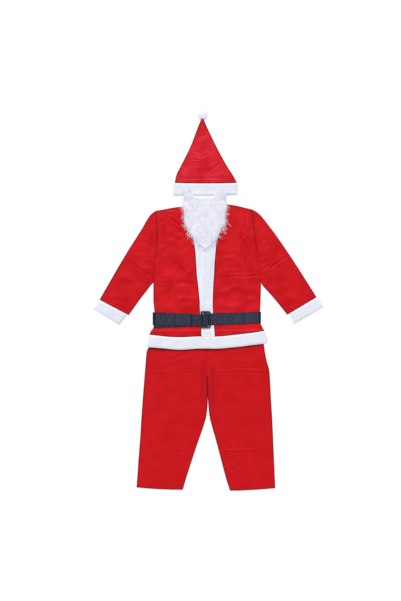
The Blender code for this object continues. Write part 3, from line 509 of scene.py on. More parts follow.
# %% Creases of the jacket
CREASE = "x1 y1 x2 y2 bend height width"
JACKET_CREASES = table(
    CREASE, (-148, 175, -67, 93, 2, 3.8, 3), (-99, 141, -65, 103, 0, 2.9, 3),
    (-97, 205, -73, 149, 1, 1.7, 3), (-77, 209, -59, 153, 1, 1.7, 3), (-158, 342, -87, 288, -1, 2.6, 4),
    (-150, 312, -99, 268, 1, 2.6, 4), (-130, 298, -91, 274, 0, 1.4, 3), (-182, 355, -122, 350, 0, 1.7, 3.5),
    (-154, 190, -154, -36, 0, -1.6, 3), (-141, 121, -140, -6, 0, -1.0, 3), (-167, 96, -167, -20, 0, 0.9, 4),
    (-194, 95, -156, 101, 0, 1.1, 3), (-194, 77, -156, 79, 0, 1.0, 3), (-194, 64, -158, 64, 0, 0.8, 3),
    (-138, 70, -59, 66, 2, -2.2, 8), (-142, 8, -51, 8, 0, 1.6, 8), (-83, 85, -53, 14, -1, -2.0, 4),
    (-180, 320, -182, 240, 0, 2.3, 4), (-198, 344, -196, 272, 0, 2.0, 3), (-186, 264, -95, 228, 2, -1.3, 8),
    (-130, 201, -124, 153, 0, -1.2, 3), (-194, 312, -162, 284, 0, 0.9, 6), (-202, 216, -154, 201, 0, 0.9, 7),
    (42, 101, 134, 106, 0, 2.4, 3), (124, 94, 201, 99, 0, -2.6, 3), (35, 149, 62, 123, -1, 2.4, 3.5),
    (62, 125, 50, 81, -1, -2.2, 3.5), (130, 348, 132, 125, 0, -1.9, 3), (94, 336, 92, 177, 0, 0.7, 2.5),
    (145, 344, 140, 268, 0, -2.4, 3.5), (156, 348, 160, 280, 1, 2.2, 3), (33, 22, 128, 62, 0, 1.9, 9),
    (136, 77, 137, 2, 0, -2.4, 4), (140, 4, 199, 4, 0, 2.0, 9), (44, 169, 100, 171, 0, 1.8, 8),
    (44, 115, 128, 119, 0, 1.4, 8), (80, 193, 136, 165, 1, -1.6, 8), (128, 232, 160, 268, 0, 1.6, 4),
    (132, 272, 164, 228, 0, -1.4, 4), (60, -22, 108, -24, 0, 1.3, 6), (164, 177, 160, 121, 0, 0.9, 5),
    (-226, -123, -146, -129, 1, 1.1, 5), (-106, -117, -51, -125, -1, 0.9, 5),
    (52, -111, 148, -105, 0, 1.1, 5),
)
SLEEVE_CREASES = table(
    CREASE, (-327, 164, -218, 84, 0, -3.2, 3), (-261, 135, -222, 117, 0, 1.6, 6),
    (-297, 181, -249, 173, 1, 1.8, 7), (-222, 280, -226, 201, -1, -2.3, 4),
    (-245, 264, -240, 201, 0, 1.2, 5), (-277, 228, -234, 205, 0, 1.0, 5), (-269, 169, -234, 153, 1, 1.2, 5),
    (-384, -6, -325, -22, 0, 1.2, 5), (-408, 18, -384, 58, 0, 1.0, 4), (-341, 97, -289, 66, 2, 1.0, 9),
    (228, 117, 317, 181, 0, -3.0, 3), (207, 117, 251, 147, 0, -2.1, 3.5), (261, 224, 257, 169, 1, 1.8, 6),
    (195, 153, 235, 175, 0, 1.4, 5), (191, 312, 187, 228, 0, 1.8, 3.5), (207, 213, 235, 236, 0, 1.2, 6),
    (219, 272, 243, 240, 1, 1.0, 5), (283, 66, 338, 42, -1, 0.8, 9), (362, -14, 315, -34, 0, 1.0, 5),
    (211, 70, 267, 2, 1, -1.3, 4),
)


# The belt squeezes the cloth out above and below it
SWELLS = table("y wide high", (-28.0, 13.0, 0.9), (-118.0, 9.0, 0.7))


def under_jacket(y):
    """Height of the jacket's back: on the floor, over the belt, then over the trousers' waist."""
    over_belt = BELT_UNDER * smooth((OVER_BELT_FROM - y) / 26.0)
    return over_belt + (WAIST_UNDER - BELT_UNDER) * smooth((OVER_WAIST_FROM - y) / 9.0)


print("creases of the jacket and its sleeves:", len(JACKET_CREASES["x1"]) + len(SLEEVE_CREASES["x1"]))

# %% [markdown]
# ## Finishes
#
# Red and white cloth are the same polyester with its face brushed up, so both use one group, `Brushed nap`.
# It mixes broad blotches of painted sheen, where the pile leans one way or the other, with short combed
# fibres. The group gives a shade and a height, and each material sets its own colours, pile and sheen, with a
# painted shade along its rims, or a painted highlight on white trim. The webbing has a woven group with
# painted shade in its hollows and at its folds, the buckle is moulded plastic with a fine grain, and the
# beard's fibre varies a little in tone, with a painted shade by height and a painted glow.


# %% Node helpers
def feed(tree, socket, value):
    """Links a socket to another, or sets its plain value."""
    if isinstance(value, bpy.types.NodeSocket):
        tree.links.new(value, socket)
    else:
        socket.default_value = value


def put(tree, kind, settings=None, **inputs):
    """A node with its properties set, and its named sockets set or linked."""
    made = tree.nodes.new(kind)
    for key, value in (settings or {}).items():
        setattr(made, key, value)
    for key, value in inputs.items():
        feed(tree, made.inputs[key.replace("_", " ")], value)
    return made


def maths(tree, operation, *values):
    """One sum on numbers, whose sockets have no names of their own."""
    made = put(tree, "ShaderNodeMath", {"operation": operation})
    for socket, value in zip(made.inputs, values):
        feed(tree, socket, value)
    return made.outputs[0]


def noise(tree, place, scale, **inputs):
    return put(tree, "ShaderNodeTexNoise", Vector=place, Scale=scale, **inputs).outputs[0]


def group_tree(name, inputs, outputs, kind="ShaderNodeTree"):
    """An empty node group with its named sockets, and its input and output nodes."""
    tree = bpy.data.node_groups.new(name, kind)
    for in_out, wanted in (("INPUT", inputs), ("OUTPUT", outputs)):
        for title, socket_type, *default in wanted:
            made = tree.interface.new_socket(title, in_out=in_out, socket_type="NodeSocket" + socket_type)
            if default:
                made.default_value = default[0]
    return tree, tree.nodes.new("NodeGroupInput").outputs, tree.nodes.new("NodeGroupOutput").inputs


# %% Group: brushed nap
nap, nap_in, nap_out = group_tree(
    "Brushed nap",
    [("Position", "Vector"), ("Blotch scale", "Float", 16.0), ("Fibre scale", "Float", 700.0)],
    [("Blotch", "Float"), ("Fibre", "Float"), ("Height", "Float")],
)


def combed(turn, squeeze):
    """The position turned and squeezed, so that noise on it runs one way, as combed fibre does."""
    along, scale = (0.0, 0.0, turn), (1.0, squeeze, 1.0)
    return put(nap, "ShaderNodeMapping", Vector=nap_in["Position"], Rotation=along, Scale=scale).outputs[0]


coarser = maths(nap, "MULTIPLY", nap_in["Fibre scale"], 0.42)
fibres = noise(nap, combed(0.2, 0.28), nap_in["Fibre scale"], Detail=3.0, Distortion=0.6)
tufts = noise(nap, combed(1.1, 0.35), coarser, Detail=2.0, Distortion=0.9)
pile = maths(nap, "ADD", maths(nap, "MULTIPLY", fibres, 0.55), maths(nap, "MULTIPLY", tufts, 0.45))
# broad blotches of painted sheen, where the pile leans one way or the other
sheen_blotch = noise(nap, nap_in["Position"], nap_in["Blotch scale"], Detail=4.0, Roughness=0.55)
for title, value in (("Blotch", sheen_blotch), ("Fibre", pile), ("Height", pile)):
    feed(nap, nap_out[title], value)
print("group", nap.name, len(nap.nodes), "nodes")


# %% Material: brushed cloth
PAINTED_RIM_REACH = 6.2  # this far from a rim, mm, the painted rim shade or highlight ends


def new_material(name):
    made = bpy.data.materials.new(name)
    made.use_nodes = True
    return made, made.node_tree, made.node_tree.nodes["Principled BSDF"]


def ranged(tree, value, low, high, to_low, to_high):
    """A value moved from one range to another on a smooth step."""
    made = put(
        tree, "ShaderNodeMapRange", {"interpolation_type": "SMOOTHSTEP"},
        Value=value, From_Min=low, From_Max=high, To_Min=to_low, To_Max=to_high,
    )
    return made.outputs[0]


def blend_colour(tree, kind, factor, a, b):
    made = put(tree, "ShaderNodeMix", {"data_type": "RGBA", "blend_type": kind})
    feed(tree, made.inputs[0], factor)
    for socket, value in ((made.inputs[6], a), (made.inputs[7], b)):
        feed(tree, socket, value if isinstance(value, bpy.types.NodeSocket) else (*value, 1.0))
    return made.outputs[2]


def colour(tree, shader, tone, shade):
    """The material's colour is the tone times a grey shade."""
    grey = put(tree, "ShaderNodeCombineColor", Red=shade, Green=shade, Blue=shade).outputs[0]
    feed(tree, shader.inputs["Base Color"], blend_colour(tree, "MULTIPLY", 1.0, tone, grey))


def raise_surface(tree, shader, height, distance, strength):
    """A fine relief: distance is its full height, in metres."""
    raised = put(tree, "ShaderNodeBump", Height=height, Distance=distance, Strength=strength)
    feed(tree, shader.inputs["Normal"], raised.outputs[0])


def brushed_cloth(name, deep, pale, seam, pile_height=0.0003, fibre_scale=700.0, gloss=0.13, roughness=0.56):
    """Brushed cloth between two tones, the pale one painted sheen in blotches, with a painted shade along its
    rims, or a painted highlight where the rim factor is above 1.
    """
    made, tree, shader = new_material(name)
    position = put(tree, "ShaderNodeTexCoord").outputs["Object"]
    surface = put(tree, "ShaderNodeGroup", {"node_tree": nap}, Position=position, Fibre_scale=fibre_scale)
    fibre = surface.outputs["Fibre"]
    # painted sheen: lighter, pinker tone in the blotches
    tone = blend_colour(tree, "MIX", ranged(tree, surface.outputs["Blotch"], 0.3, 0.7, 0.0, 1.0), deep, pale)
    rim = put(tree, "ShaderNodeAttribute", {"attribute_name": "edge"}).outputs["Fac"]
    # painted rim shade: the given factor at the rim, fading to none 6.2 mm in
    painted_rim = ranged(tree, rim, 0.0012, PAINTED_RIM_REACH * MM, seam, 1.0)
    colour(tree, shader, tone, maths(tree, "MULTIPLY", ranged(tree, fibre, 0.3, 0.7, 0.95, 1.05), painted_rim))
    feed(tree, shader.inputs["Roughness"], ranged(tree, fibre, 0.2, 0.8, roughness - 0.06, roughness + 0.06))
    raise_surface(tree, shader, surface.outputs["Height"], pile_height, 0.6)
    shader.inputs["Specular IOR Level"].default_value = gloss
    return made


# the third number is the painted shade at the rims; the pale tone is painted sheen
jacket_red = brushed_cloth("jacket_red", (0.560, 0.0018, 0.0070), (0.690, 0.0072, 0.0150), 0.42)
sleeve_red = brushed_cloth("sleeve_red", (0.560, 0.0022, 0.0070), (0.665, 0.0062, 0.0130), 0.42)
trouser_red = brushed_cloth("trouser_red", (0.575, 0.0028, 0.0075), (0.625, 0.0045, 0.0105), 0.42)
hat_red = brushed_cloth("hat_red", (0.630, 0.0060, 0.0160), (0.730, 0.0195, 0.0370), 0.36)
# white trim gets a painted highlight along its rims, 1.16 times as bright
trim_white = brushed_cloth(
    "trim_white", (0.805, 0.84, 0.93), (0.84, 0.865, 0.95), 1.16, 0.00022, 480.0, gloss=0.1, roughness=0.8
)
print("cloth materials:", [m.name for m in (jacket_red, sleeve_red, trouser_red, hat_red, trim_white)])

# %% Group: woven webbing
webbing, web_in, web_out = group_tree(
    "Woven webbing",
    [("Weave", "Vector"), ("Rib", "Float", 0.0017), ("Yarn", "Float", 0.0021)],
    [("Crown", "Float"), ("Fuzz", "Float")],
)


def crowns(phase, sharpness):
    """Rows of round crowns side by side, one to each half turn of the phase."""
    wave = maths(webbing, "ABSOLUTE", maths(webbing, "SINE", phase))
    return maths(webbing, "POWER", wave, sharpness)


parts = put(webbing, "ShaderNodeSeparateXYZ", Vector=web_in["Weave"]).outputs
yarn_place = maths(webbing, "DIVIDE", parts[1], web_in["Yarn"])
step_over = maths(webbing, "MULTIPLY", maths(webbing, "FLOOR", yarn_place), math.pi)
rib_phase = maths(webbing, "MULTIPLY", maths(webbing, "DIVIDE", parts[0], web_in["Rib"]), math.pi)
ribs = crowns(maths(webbing, "ADD", rib_phase, step_over), 0.7)
yarns = crowns(maths(webbing, "MULTIPLY", yarn_place, math.pi), 0.5)
feed(webbing, web_out["Crown"], maths(webbing, "MULTIPLY", ribs, yarns))
feed(webbing, web_out["Fuzz"], noise(webbing, web_in["Weave"], 900.0, Detail=3.0))
print("group", webbing.name, len(webbing.nodes), "nodes")

# %% Material: belt webbing
belt_web, tree, shader = new_material("belt_web")
weave_map = put(tree, "ShaderNodeUVMap", {"uv_map": "weave"}).outputs[0]
woven = put(tree, "ShaderNodeGroup", {"node_tree": webbing}, Weave=weave_map)
# painted shade in the weave's hollows: the tone is darker between its crowns
tone = blend_colour(tree, "MIX", woven.outputs["Crown"], (0.0105, 0.0147, 0.0315), (0.047, 0.057, 0.108))
streak_place = put(tree, "ShaderNodeMapping", Vector=weave_map, Scale=(95.0, 6.0, 1.0)).outputs[0]
streak = noise(tree, streak_place, 1.0, Detail=2.0)
dust = noise(tree, weave_map, 170.0, Detail=2.0)
# painted shade along the webbing's rims, down to 0.16 of its tone at the rim
rim = put(tree, "ShaderNodeAttribute", {"attribute_name": "edge"}).outputs["Fac"]
shade = maths(
    tree, "MULTIPLY", ranged(tree, streak, 0.3, 0.7, 0.82, 1.16), ranged(tree, rim, 0.0, 0.003, 0.16, 1.0)
)
colour(tree, shader, tone, maths(tree, "MULTIPLY", shade, ranged(tree, dust, 0.3, 0.7, 0.62, 1.4)))
feed(tree, shader.inputs["Roughness"], ranged(tree, woven.outputs["Fuzz"], 0.3, 0.7, 0.5, 0.7))
raise_surface(tree, shader, woven.outputs["Crown"], 0.0005, 0.9)
shader.inputs["Specular IOR Level"].default_value = 0.25
print("material", belt_web.name)

# %% Material: moulded plastic
buckle_black, tree, shader = new_material("buckle_black")
position = put(tree, "ShaderNodeTexCoord").outputs["Object"]
scuff = noise(tree, position, 90.0, Detail=5.0, Roughness=0.7)
scuffed = blend_colour(
    tree, "MIX", ranged(tree, scuff, 0.35, 0.7, 0.0, 1.0), (0.008, 0.011, 0.016), (0.020, 0.024, 0.032)
)
feed(tree, shader.inputs["Base Color"], scuffed)
feed(tree, shader.inputs["Roughness"], ranged(tree, scuff, 0.3, 0.7, 0.50, 0.66))
raise_surface(tree, shader, noise(tree, position, 1400.0, Detail=2.0), 0.00004, 0.5)
print("material", buckle_black.name)

# %% Materials: fibre and thread
LOW_SHADE = 1.06
SHADE_FROM, SHADE_TO = 0.24, 0.40  # metres up the frame, between which the painted shade goes from low to high


def fibre_material(name, deep, pale, scale, painted_glow=0.0, high_shade=1.0):
    """Loose yarn or fibre, whose tone changes a little along it, with a painted shade by height; the painted
    glow is emission that stands in for light scattered inside it.
    """
    made, tree, shader = new_material(name)
    position = put(tree, "ShaderNodeTexCoord").outputs["Object"]
    lock = noise(tree, position, scale, Detail=3.0)
    tone = blend_colour(tree, "MIX", ranged(tree, lock, 0.35, 0.65, 0.0, 1.0), deep, pale)
    up = put(tree, "ShaderNodeSeparateXYZ", Vector=position).outputs[1]
    # painted shade by height: LOW_SHADE low down and high_shade higher up, so the beard is darker towards its
    # top
    colour(tree, shader, tone, ranged(tree, up, SHADE_FROM, SHADE_TO, LOW_SHADE, high_shade))
    feed(tree, shader.inputs["Roughness"], ranged(tree, lock, 0.3, 0.7, 0.5, 0.65))
    shader.inputs["Specular IOR Level"].default_value = 0.25
    # painted glow: emission in place of the light that the fibre scatters inside it
    shader.inputs["Emission Color"].default_value = (0.90, 0.93, 1.0, 1.0)
    shader.inputs["Emission Strength"].default_value = painted_glow
    return made


beard_white = fibre_material(
    "beard_white", (0.715, 0.72, 0.79), (0.78, 0.785, 0.845), 120.0, painted_glow=0.13, high_shade=0.95
)
pompom_white = fibre_material("pompom_white", (0.71, 0.715, 0.78), (0.74, 0.745, 0.80), 200.0, painted_glow=0.215)
red_thread = fibre_material("red_thread", (0.42, 0.006, 0.010), (0.50, 0.009, 0.014), 300.0)
white_thread = fibre_material("white_thread", (0.74, 0.77, 0.85), (0.84, 0.86, 0.92), 300.0)
black_thread = fibre_material("black_thread", (0.012, 0.014, 0.02), (0.022, 0.024, 0.034), 300.0)
print("fibre materials: beard_white, pompom_white and three threads")

# %% [markdown]
# ## Stitches
#
# A sewing machine leaves a row of short, equal stitches sunk in the cloth. A row is one path along the
# seam, so Geometry Nodes can lay it: the path is cut into equal lengths and each point gets one small bead,
# turned along the path. The inputs are the pitch and the size of a stitch. All the rows of one piece make
# one mesh.

# %% Tree: a row of stitches
sewing, sew_in, sew_out = group_tree(
    "Row of stitches",
    [
        ("Geometry", "Geometry"), ("Pitch", "Float", 0.003), ("Length", "Float", 0.0023),
        ("Width", "Float", 0.0007),
    ],
    [("Geometry", "Geometry")],
    "GeometryNodeTree",
)
path = put(sewing, "GeometryNodeMeshToCurve", Mesh=sew_in["Geometry"])
even = put(
    sewing, "GeometryNodeResampleCurve", {"mode": "LENGTH"}, Curve=path.outputs[0], Length=sew_in["Pitch"]
)
bead = put(sewing, "GeometryNodeMeshUVSphere", Segments=6, Rings=4, Radius=0.5)
ahead = put(sewing, "GeometryNodeInputTangent")
turned = put(sewing, "FunctionNodeAlignRotationToVector", {"axis": "X"}, Vector=ahead.outputs[0])
flat = put(
    sewing, "FunctionNodeAlignRotationToVector", {"axis": "Z", "pivot_axis": "X"},
    Rotation=turned.outputs[0], Vector=(0.0, 0.0, 1.0),
)
size = put(sewing, "ShaderNodeCombineXYZ", X=sew_in["Length"], Y=sew_in["Width"], Z=sew_in["Width"])
row = put(
    sewing, "GeometryNodeInstanceOnPoints", Points=even.outputs[0], Instance=bead.outputs[0],
    Rotation=flat.outputs[0], Scale=size.outputs[0],
)
plain = put(sewing, "GeometryNodeRealizeInstances", Geometry=row.outputs[0])
sewn = put(sewing, "GeometryNodeSetMaterial", Geometry=plain.outputs[0])
feed(sewing, sew_out["Geometry"], sewn.outputs[0])
thread_of_row = sewn.inputs["Material"]
print("tree", sewing.name, len(sewing.nodes), "nodes")


# %% Running a tree
def as_mesh(source):
    """What an object's modifiers or its curve come to, as a plain mesh."""
    bpy.context.view_layer.update()
    return bpy.data.meshes.new_from_object(source.evaluated_get(bpy.context.evaluated_depsgraph_get()))


def grown(name, tree, source, material, **values):
    """Runs a tree on a mesh with its named inputs set, and keeps the result as a plain mesh."""
    modifier = source.modifiers.new(tree.name, "NODES")
    modifier.node_group = tree
    known = {item.name: item.identifier for item in tree.interface.items_tree if item.in_out == "INPUT"}
    for key, value in values.items():
        modifier[known[key.replace("_", " ")]] = value
    mesh = as_mesh(source)
    source.modifiers.remove(modifier)
    mesh.name = name
    mesh.materials.clear()
    mesh.materials.append(material)
    mesh.shade_flat()
    return in_scene(name, mesh)


STITCH_PITCH = 3.0
STITCH_LENGTH = 0.76 * STITCH_PITCH


def stitches(name, paths, thread, slot, width=0.7):
    """Rows of stitches along paths of plan points."""
    points, edges = [], []
    for x, y, z in paths:
        first = len(points)
        points += [((a - CENTRE[0]) * MM, (b - CENTRE[1]) * MM, c * MM) for a, b, c in zip(x, y, z)]
        edges += [(i, i + 1) for i in range(first, len(points) - 1)]
    mesh = bpy.data.meshes.new(name + "_path")
    mesh.from_pydata(points, edges, [])
    source = in_scene(name + "_path", mesh)
    thread_of_row.default_value = thread
    made = grown(
        name, sewing, source, thread, Pitch=STITCH_PITCH * MM, Length=STITCH_LENGTH * MM, Width=width * MM
    )
    bpy.data.objects.remove(source)
    return keep(made, slot=slot)


# %% [markdown]
# ## Jacket body
#
# The body is a back and two fronts, sewn at the shoulders and sides, with a long white band on each front
# edge. It lies closed: the wearer's left front, with its band, is on top. The back lies on the floor,
# climbs over the belt's hidden run and then over the trousers' waist, and the fronts rest on it.


# %% Edges of the jacket
def side_edge(body, hem):
    """A side of the jacket: the body's edge, and under it the hem band's."""
    return lambda y: np.where(y > body["y"][-1], follow(body, "y", "x", y), follow(hem, "y", "x", y))


body_right, body_left = side_edge(BODY_RIGHT, HEM_RIGHT), side_edge(BODY_LEFT, HEM_LEFT)
front_right, front_left = edge_of(FRONT_RIGHT, "y", "x"), edge_of(FRONT_LEFT, "y", "x")
shoulders, neck = edge_of(SHOULDERS, "x", "y"), edge_of(FRONT_NECK, "x", "y")
hem_seam, hem_edge = edge_of(HEM, "x", "seam"), edge_of(HEM, "x", "edge")
print("chest", round(float(body_left(162) - body_right(162))), "mm across")


# %% Heights of the jacket
def upper_layer(x, y):
    """Underside of the jacket's front: it rises from the side seams, the shoulders and the belt."""
    edge = follow(BODY_RISE, "y", "edge", y)
    inner = follow(BODY_RISE, "y", "inside", y)
    from_side = smooth(np.minimum(x - body_right(y), body_left(y) - x) / LAYER_SIDE)
    from_shoulder = smooth((shoulders(x) + 2.0 - y) / LAYER_SIDE)
    rise = (edge + (inner - edge) * from_side) * from_shoulder
    return under_jacket(y) + RED_WALL + GAP + rise


def over_band(x, y):
    """How much higher the wearer's left front lies, where the right front's band is under it."""
    end = front_right(y) + UNDER_BAND_WIDTH
    return FRONT_ABOVE_BAND * (1.0 - smooth((x - end - 1.0) / 30.0))


def free_of_belt(y):
    """0 where the belt presses the jacket flat, and 1 well above and below it."""
    return 1.0 - np.exp(-(((y - BELT_LEVEL) / 34.0) ** 4))


def jacket_relief(x, y, edge, seed):
    """Creases, hills and puckers of a front, pressed flat under the belt."""
    free = creases(x, y, JACKET_CREASES) + 0.9 * slow_waves(x, y, seed, 58.0)
    for level, wide, high in zip(*SWELLS.values()):
        free = free + high * np.exp(-(((y - level) / wide) ** 2))
    return (free * smooth(edge / 14.0) + pucker(edge, x, y, seed + 1)) * free_of_belt(y)


def armhole_shade(from_side, y, edge):
    """Distance for the materials' painted rim shade: along an armhole the painted shade is lighter and
    spreads over a wider strip.
    """
    at_armhole = smooth((y - UNDERARM) / 16.0) * (from_side < 15.0)
    least = ARMHOLE_SHADE + 2.2 * smooth((240.0 - y) / 60.0)
    return np.minimum(np.maximum(edge, (least + 0.2 * from_side) * at_armhole), 0.6 * from_side + least + 0.3)


def on_back(y, level):
    """The underside of the front never sinks into the back."""
    return np.maximum(level, under_jacket(y) + RED_WALL + LEAST_GAP)


# %% Jacket panels
SEAM = 0.05  # two panels meet this close to the middle of their seam
TUCK = 2.0  # a seam of the lower layer lies this much to one side, so that no seam lets the floor through
BODY_LENGTH = 500.0


def armhole_tuck(y):
    return TUCK * smooth((y - UNDERARM) / 16.0) * smooth((SHOULDER_END - y) / 16.0)


x, y = spread(
    420.0, BODY_LENGTH, 11.0, lambda y: body_right(y) - armhole_tuck(y),
    lambda y: body_left(y) + armhole_tuck(y), shoulders, beside(hem_seam, SEAM - TUCK),
)
back = panel("jacket_back_cloth", x, y, under_jacket(y) + RED_WALL / 2, RED_WALL, jacket_red)
lay(back, "jacket_back", "red_cloth", (0.445, 0.525), cut_area(x, y), "waistband_front_cloth")


def jacket_front(side, low, high, armhole, flat, seed, on_top):
    """One front; the one on top rises over the other's band."""
    x, y = spread(170.0, BODY_LENGTH, 3.3, low, high, shoulders, beside(hem_seam, SEAM))
    edge = rim_distance(x, y)
    level = on_back(y, upper_layer(x, y) + jacket_relief(x, y, edge, seed)) + on_top * over_band(x, y)
    painted_rim_distance = armhole_shade(np.abs(x - armhole(y)), y, edge)
    front = panel(f"jacket_{side}_front_cloth", x, y, level + RED_WALL / 2, RED_WALL, jacket_red, painted_rim_distance)
    lay(front, "jacket_front_" + side, "red_cloth", flat, cut_area(x, y), "jacket_back_cloth")


jacket_front("right", body_right, beside(front_right, -SEAM), body_right, (0.205, 0.52), 3, False)
jacket_front("left", beside(front_left, SEAM), body_left, body_left, (0.205, 0.525), 8, True)


# %% Front bands
def band_relief(x, y, edge, seed):
    """A folded band is full along its middle and a little uneven."""
    full = 0.5 * smooth(edge / 12.0) + 0.45 * slow_waves(x, y, seed, 60.0) * smooth(edge / 9.0)
    return (full + pucker(edge, x, y, seed + 1)) * free_of_belt(y)


SEAM_ROW = 5  # the station of a band's grid that its stitches run along
STITCH_SUNK = 0.25


def seam_row(name, x, y, level, run):
    """A row of white stitches sunk a little in a band, along one line of its grid."""
    line = (x[run], y[run], level[run] + TRIM_WALL / 2 - STITCH_SUNK)
    return stitches(name, [line], white_thread, "white_trim", width=0.55)


x, y = spread(
    56.0, BODY_LENGTH, 4.0, beside(front_right, SEAM), beside(front_right, UNDER_BAND_WIDTH), neck,
    beside(hem_seam, SEAM),
)
band = panel("right_front_band", x, y, upper_layer(x, y) + TRIM_WALL / 2, TRIM_WALL, trim_white)
lay(band, "front_band_right", "white_trim", (0.049, 0.52), cut_area(x, y), "jacket_back_cloth", held="folded")

x, y = spread(
    58.0, BODY_LENGTH, 2.6, beside(front_left, -BAND_WIDTH), beside(front_left, -SEAM), neck,
    beside(hem_seam, SEAM),
)
level = upper_layer(x, y) + over_band(x, y) + TRIM_WALL / 2 + band_relief(x, y, rim_distance(x, y), 14)
band = panel("left_front_band", x, y, level, TRIM_WALL, trim_white)
row = seam_row("left_front_band_stitches", x, y, level, np.s_[3:-2, -SEAM_ROW])
lay(
    band, "front_band_left", "white_trim", (0.051, 0.52), cut_area(x, y), "right_front_band", held="folded",
    row=row,
)


# %% Hem band
HEM_STEP = 2.8
OVERLAP = 47.0  # this length of the right half lies under the left half


def hem_relief(x, y, edge, seed):
    """The band is a doubled strip: full between its seam and its fold."""
    uneven = 0.45 * slow_waves(x, y, seed, 62.0) * smooth(edge / 9.0)
    return 1.5 * smooth(edge / 8.0) + uneven + pucker(edge, x, y, seed + 1)


hem_top = beside(hem_seam, -HEM_SEAM)
x, y = spread(460.0, HEM_WIDTH, 9.0, body_right, body_left, beside(hem_top, -TUCK), hem_edge)
hem_back = panel("back_hem_band", x, y, under_jacket(y) + TRIM_WALL / 2, TRIM_WALL, trim_white)
area = cut_area(x, y)
lay(hem_back, "hem_band_back", "white_trim", (0.47, 0.06), area, "waistband_front_cloth", held="folded")
hem_right_end = float(front_right(HEM_LEVEL)) + UNDER_BAND_WIDTH
hem_left_start = float(front_left(HEM_LEVEL)) - BAND_WIDTH


def hem_half(side, width, low, high, lift, fullness, seed, highlight_from, run, rests_on):
    """A front half of the band: lift and fullness go by x, and past the given x its seamed edge has a painted
    highlight.
    """
    x, y = spread(width, HEM_WIDTH, HEM_STEP, low, high, hem_top, hem_edge)
    level = upper_layer(x, y) + HEM_LIFT + lift(x) + TRIM_WALL / 2
    level = level + fullness(x) * hem_relief(x, y, rim_distance(x, y), seed)
    down = HEM_WIDTH * stations(HEM_WIDTH, HEM_STEP)[:, None]
    # painted highlight along the seamed upper half of the band
    painted_rim_distance = np.where((down < HEM_WIDTH / 2) & (x > highlight_from), down, PAINTED_RIM_REACH)
    half = panel(side + "_hem_band", x, y, level, TRIM_WALL, trim_white, painted_rim_distance)
    row = seam_row(side + "_hem_band_stitches", x, y, level, run)
    lay(
        half, "hem_band_front_" + side, "white_trim", (0.27, 0.06), cut_area(x, y), rests_on, held="folded",
        row=row,
    )


hem_half(
    "right", 260.0, body_right, straight(hem_right_end), straight(0.0),
    lambda x: smooth((hem_right_end - OVERLAP - x) / 20.0), 21, -math.inf, np.s_[SEAM_ROW, 3:-18],
    "back_hem_band",
)
hem_half(
    "left", 255.0, straight(hem_left_start), body_left, lambda x: over_band(x, HEM_LEVEL), straight(1.0), 25,
    hem_left_start + 8.0, np.s_[SEAM_ROW, 2:-3], "right_hem_band",
)

# %% [markdown]
# ## Sleeves, cuffs and the hat's band
#
# A sleeve laid flat is a tube pressed shut: two nearly flat layers joined by a round fold on each side. The
# ring has many stations on the flat stretches and a few on each half circle. Only its upper layer has
# creases, because the lower one lies on the floor.


# %% A flattened tube
FOLD_FACES = 8  # round each side fold


def ring(width, step):
    """Stations round a flattened tube: place across it, and angle round its folds."""
    flat = stations(width, step)
    half = np.linspace(0.0, math.pi, FOLD_FACES + 1)[1:-1]
    t = [flat, np.ones(len(half)), flat[::-1], np.zeros(len(half))]
    angle = [np.zeros(len(flat)), half, np.full(len(flat), math.pi), half + math.pi]
    return np.concatenate(t), np.concatenate(angle)


def tube(name, source, thick, rise, relief, material, width, length, step, rim_shade_at, shift=None):
    """A flattened tube from its table, with a rise and a relief on its upper layer."""
    t, angle = ring(width, step)
    v, t = np.meshgrid(stations(length, step), t, indexing="ij")
    angle = np.broadcast_to(angle, t.shape)
    outer_x, outer_y, inner_x, inner_y = (
        follow(source, "v", c, v) for c in ("outer_x", "outer_y", "inner_x", "inner_y")
    )
    across = np.hypot(inner_x - outer_x, inner_y - outer_y)
    fold = thick + GAP / 2
    end = np.minimum(v, 1.0 - v) * length
    share = rounded(end, thick)
    side = np.minimum(t, 1.0 - t) * across
    upper = (1.0 - np.cos(angle)) / 2
    points = []
    for depth in (0.5 - 0.5 * share, 0.5 + 0.5 * share):
        radius = fold - thick * depth
        reach = (fold + (across - 2 * fold) * t + radius * np.sin(angle)) / across
        x, y = outer_x + (inner_x - outer_x) * reach, outer_y + (inner_y - outer_y) * reach
        if shift is not None:
            x = x + shift(t, v, 1.0 - upper)
        edge = np.minimum(end, side)
        lift = np.maximum(rise(v) * np.sin(math.pi * t) ** 0.7 + relief(x, y, edge), 0.0) * upper
        points.append((x, y, np.maximum(fold - radius * np.cos(angle) + lift, 0.0)))
    return wall(name, points[0], points[1], material, rim_shade_at(end, side, v), wrapped=True)


# %% Sleeves
SLEEVE_RISE = 3.0
SLEEVE_CUT = (0.42, 0.37)  # opened out, across the widest part and from shoulder to cuff


def sleeve(name, node, source, body_edge, gap, seed):
    """A sleeve whose ring at the armhole follows the curved armhole seam of the body."""
    shoulder, underarm = source["outer_y"][0], source["inner_y"][0]

    def shift(t, v, lower):
        level = shoulder + (underarm - shoulder) * t
        chord = source["outer_x"][0] + (source["inner_x"][0] - source["outer_x"][0]) * t
        tuck = np.sign(gap) * armhole_tuck(level) * lower
        return (body_edge(level) + gap + tuck - chord) * (1.0 - v) ** 3

    def relief(x, y, edge):
        free = creases(x, y, SLEEVE_CREASES) + 0.8 * slow_waves(x, y, seed, 62.0)
        return free * smooth(edge / 13.0) + pucker(edge, x, y, seed + 1)

    # painted rim shade along the side folds and the cuff end, lighter at the armhole end
    made = tube(
        name, source, RED_WALL, straight(SLEEVE_RISE), relief, sleeve_red, 200.0, 400.0, 3.6,
        lambda end, side, v: np.minimum(end + np.where(v < 0.5, ARMHOLE_SHADE, 0.0), side + 0.8), shift,
    )
    lay(made, node, "red_cloth", SLEEVE_CUT, tube_area(source), "paper_floor")


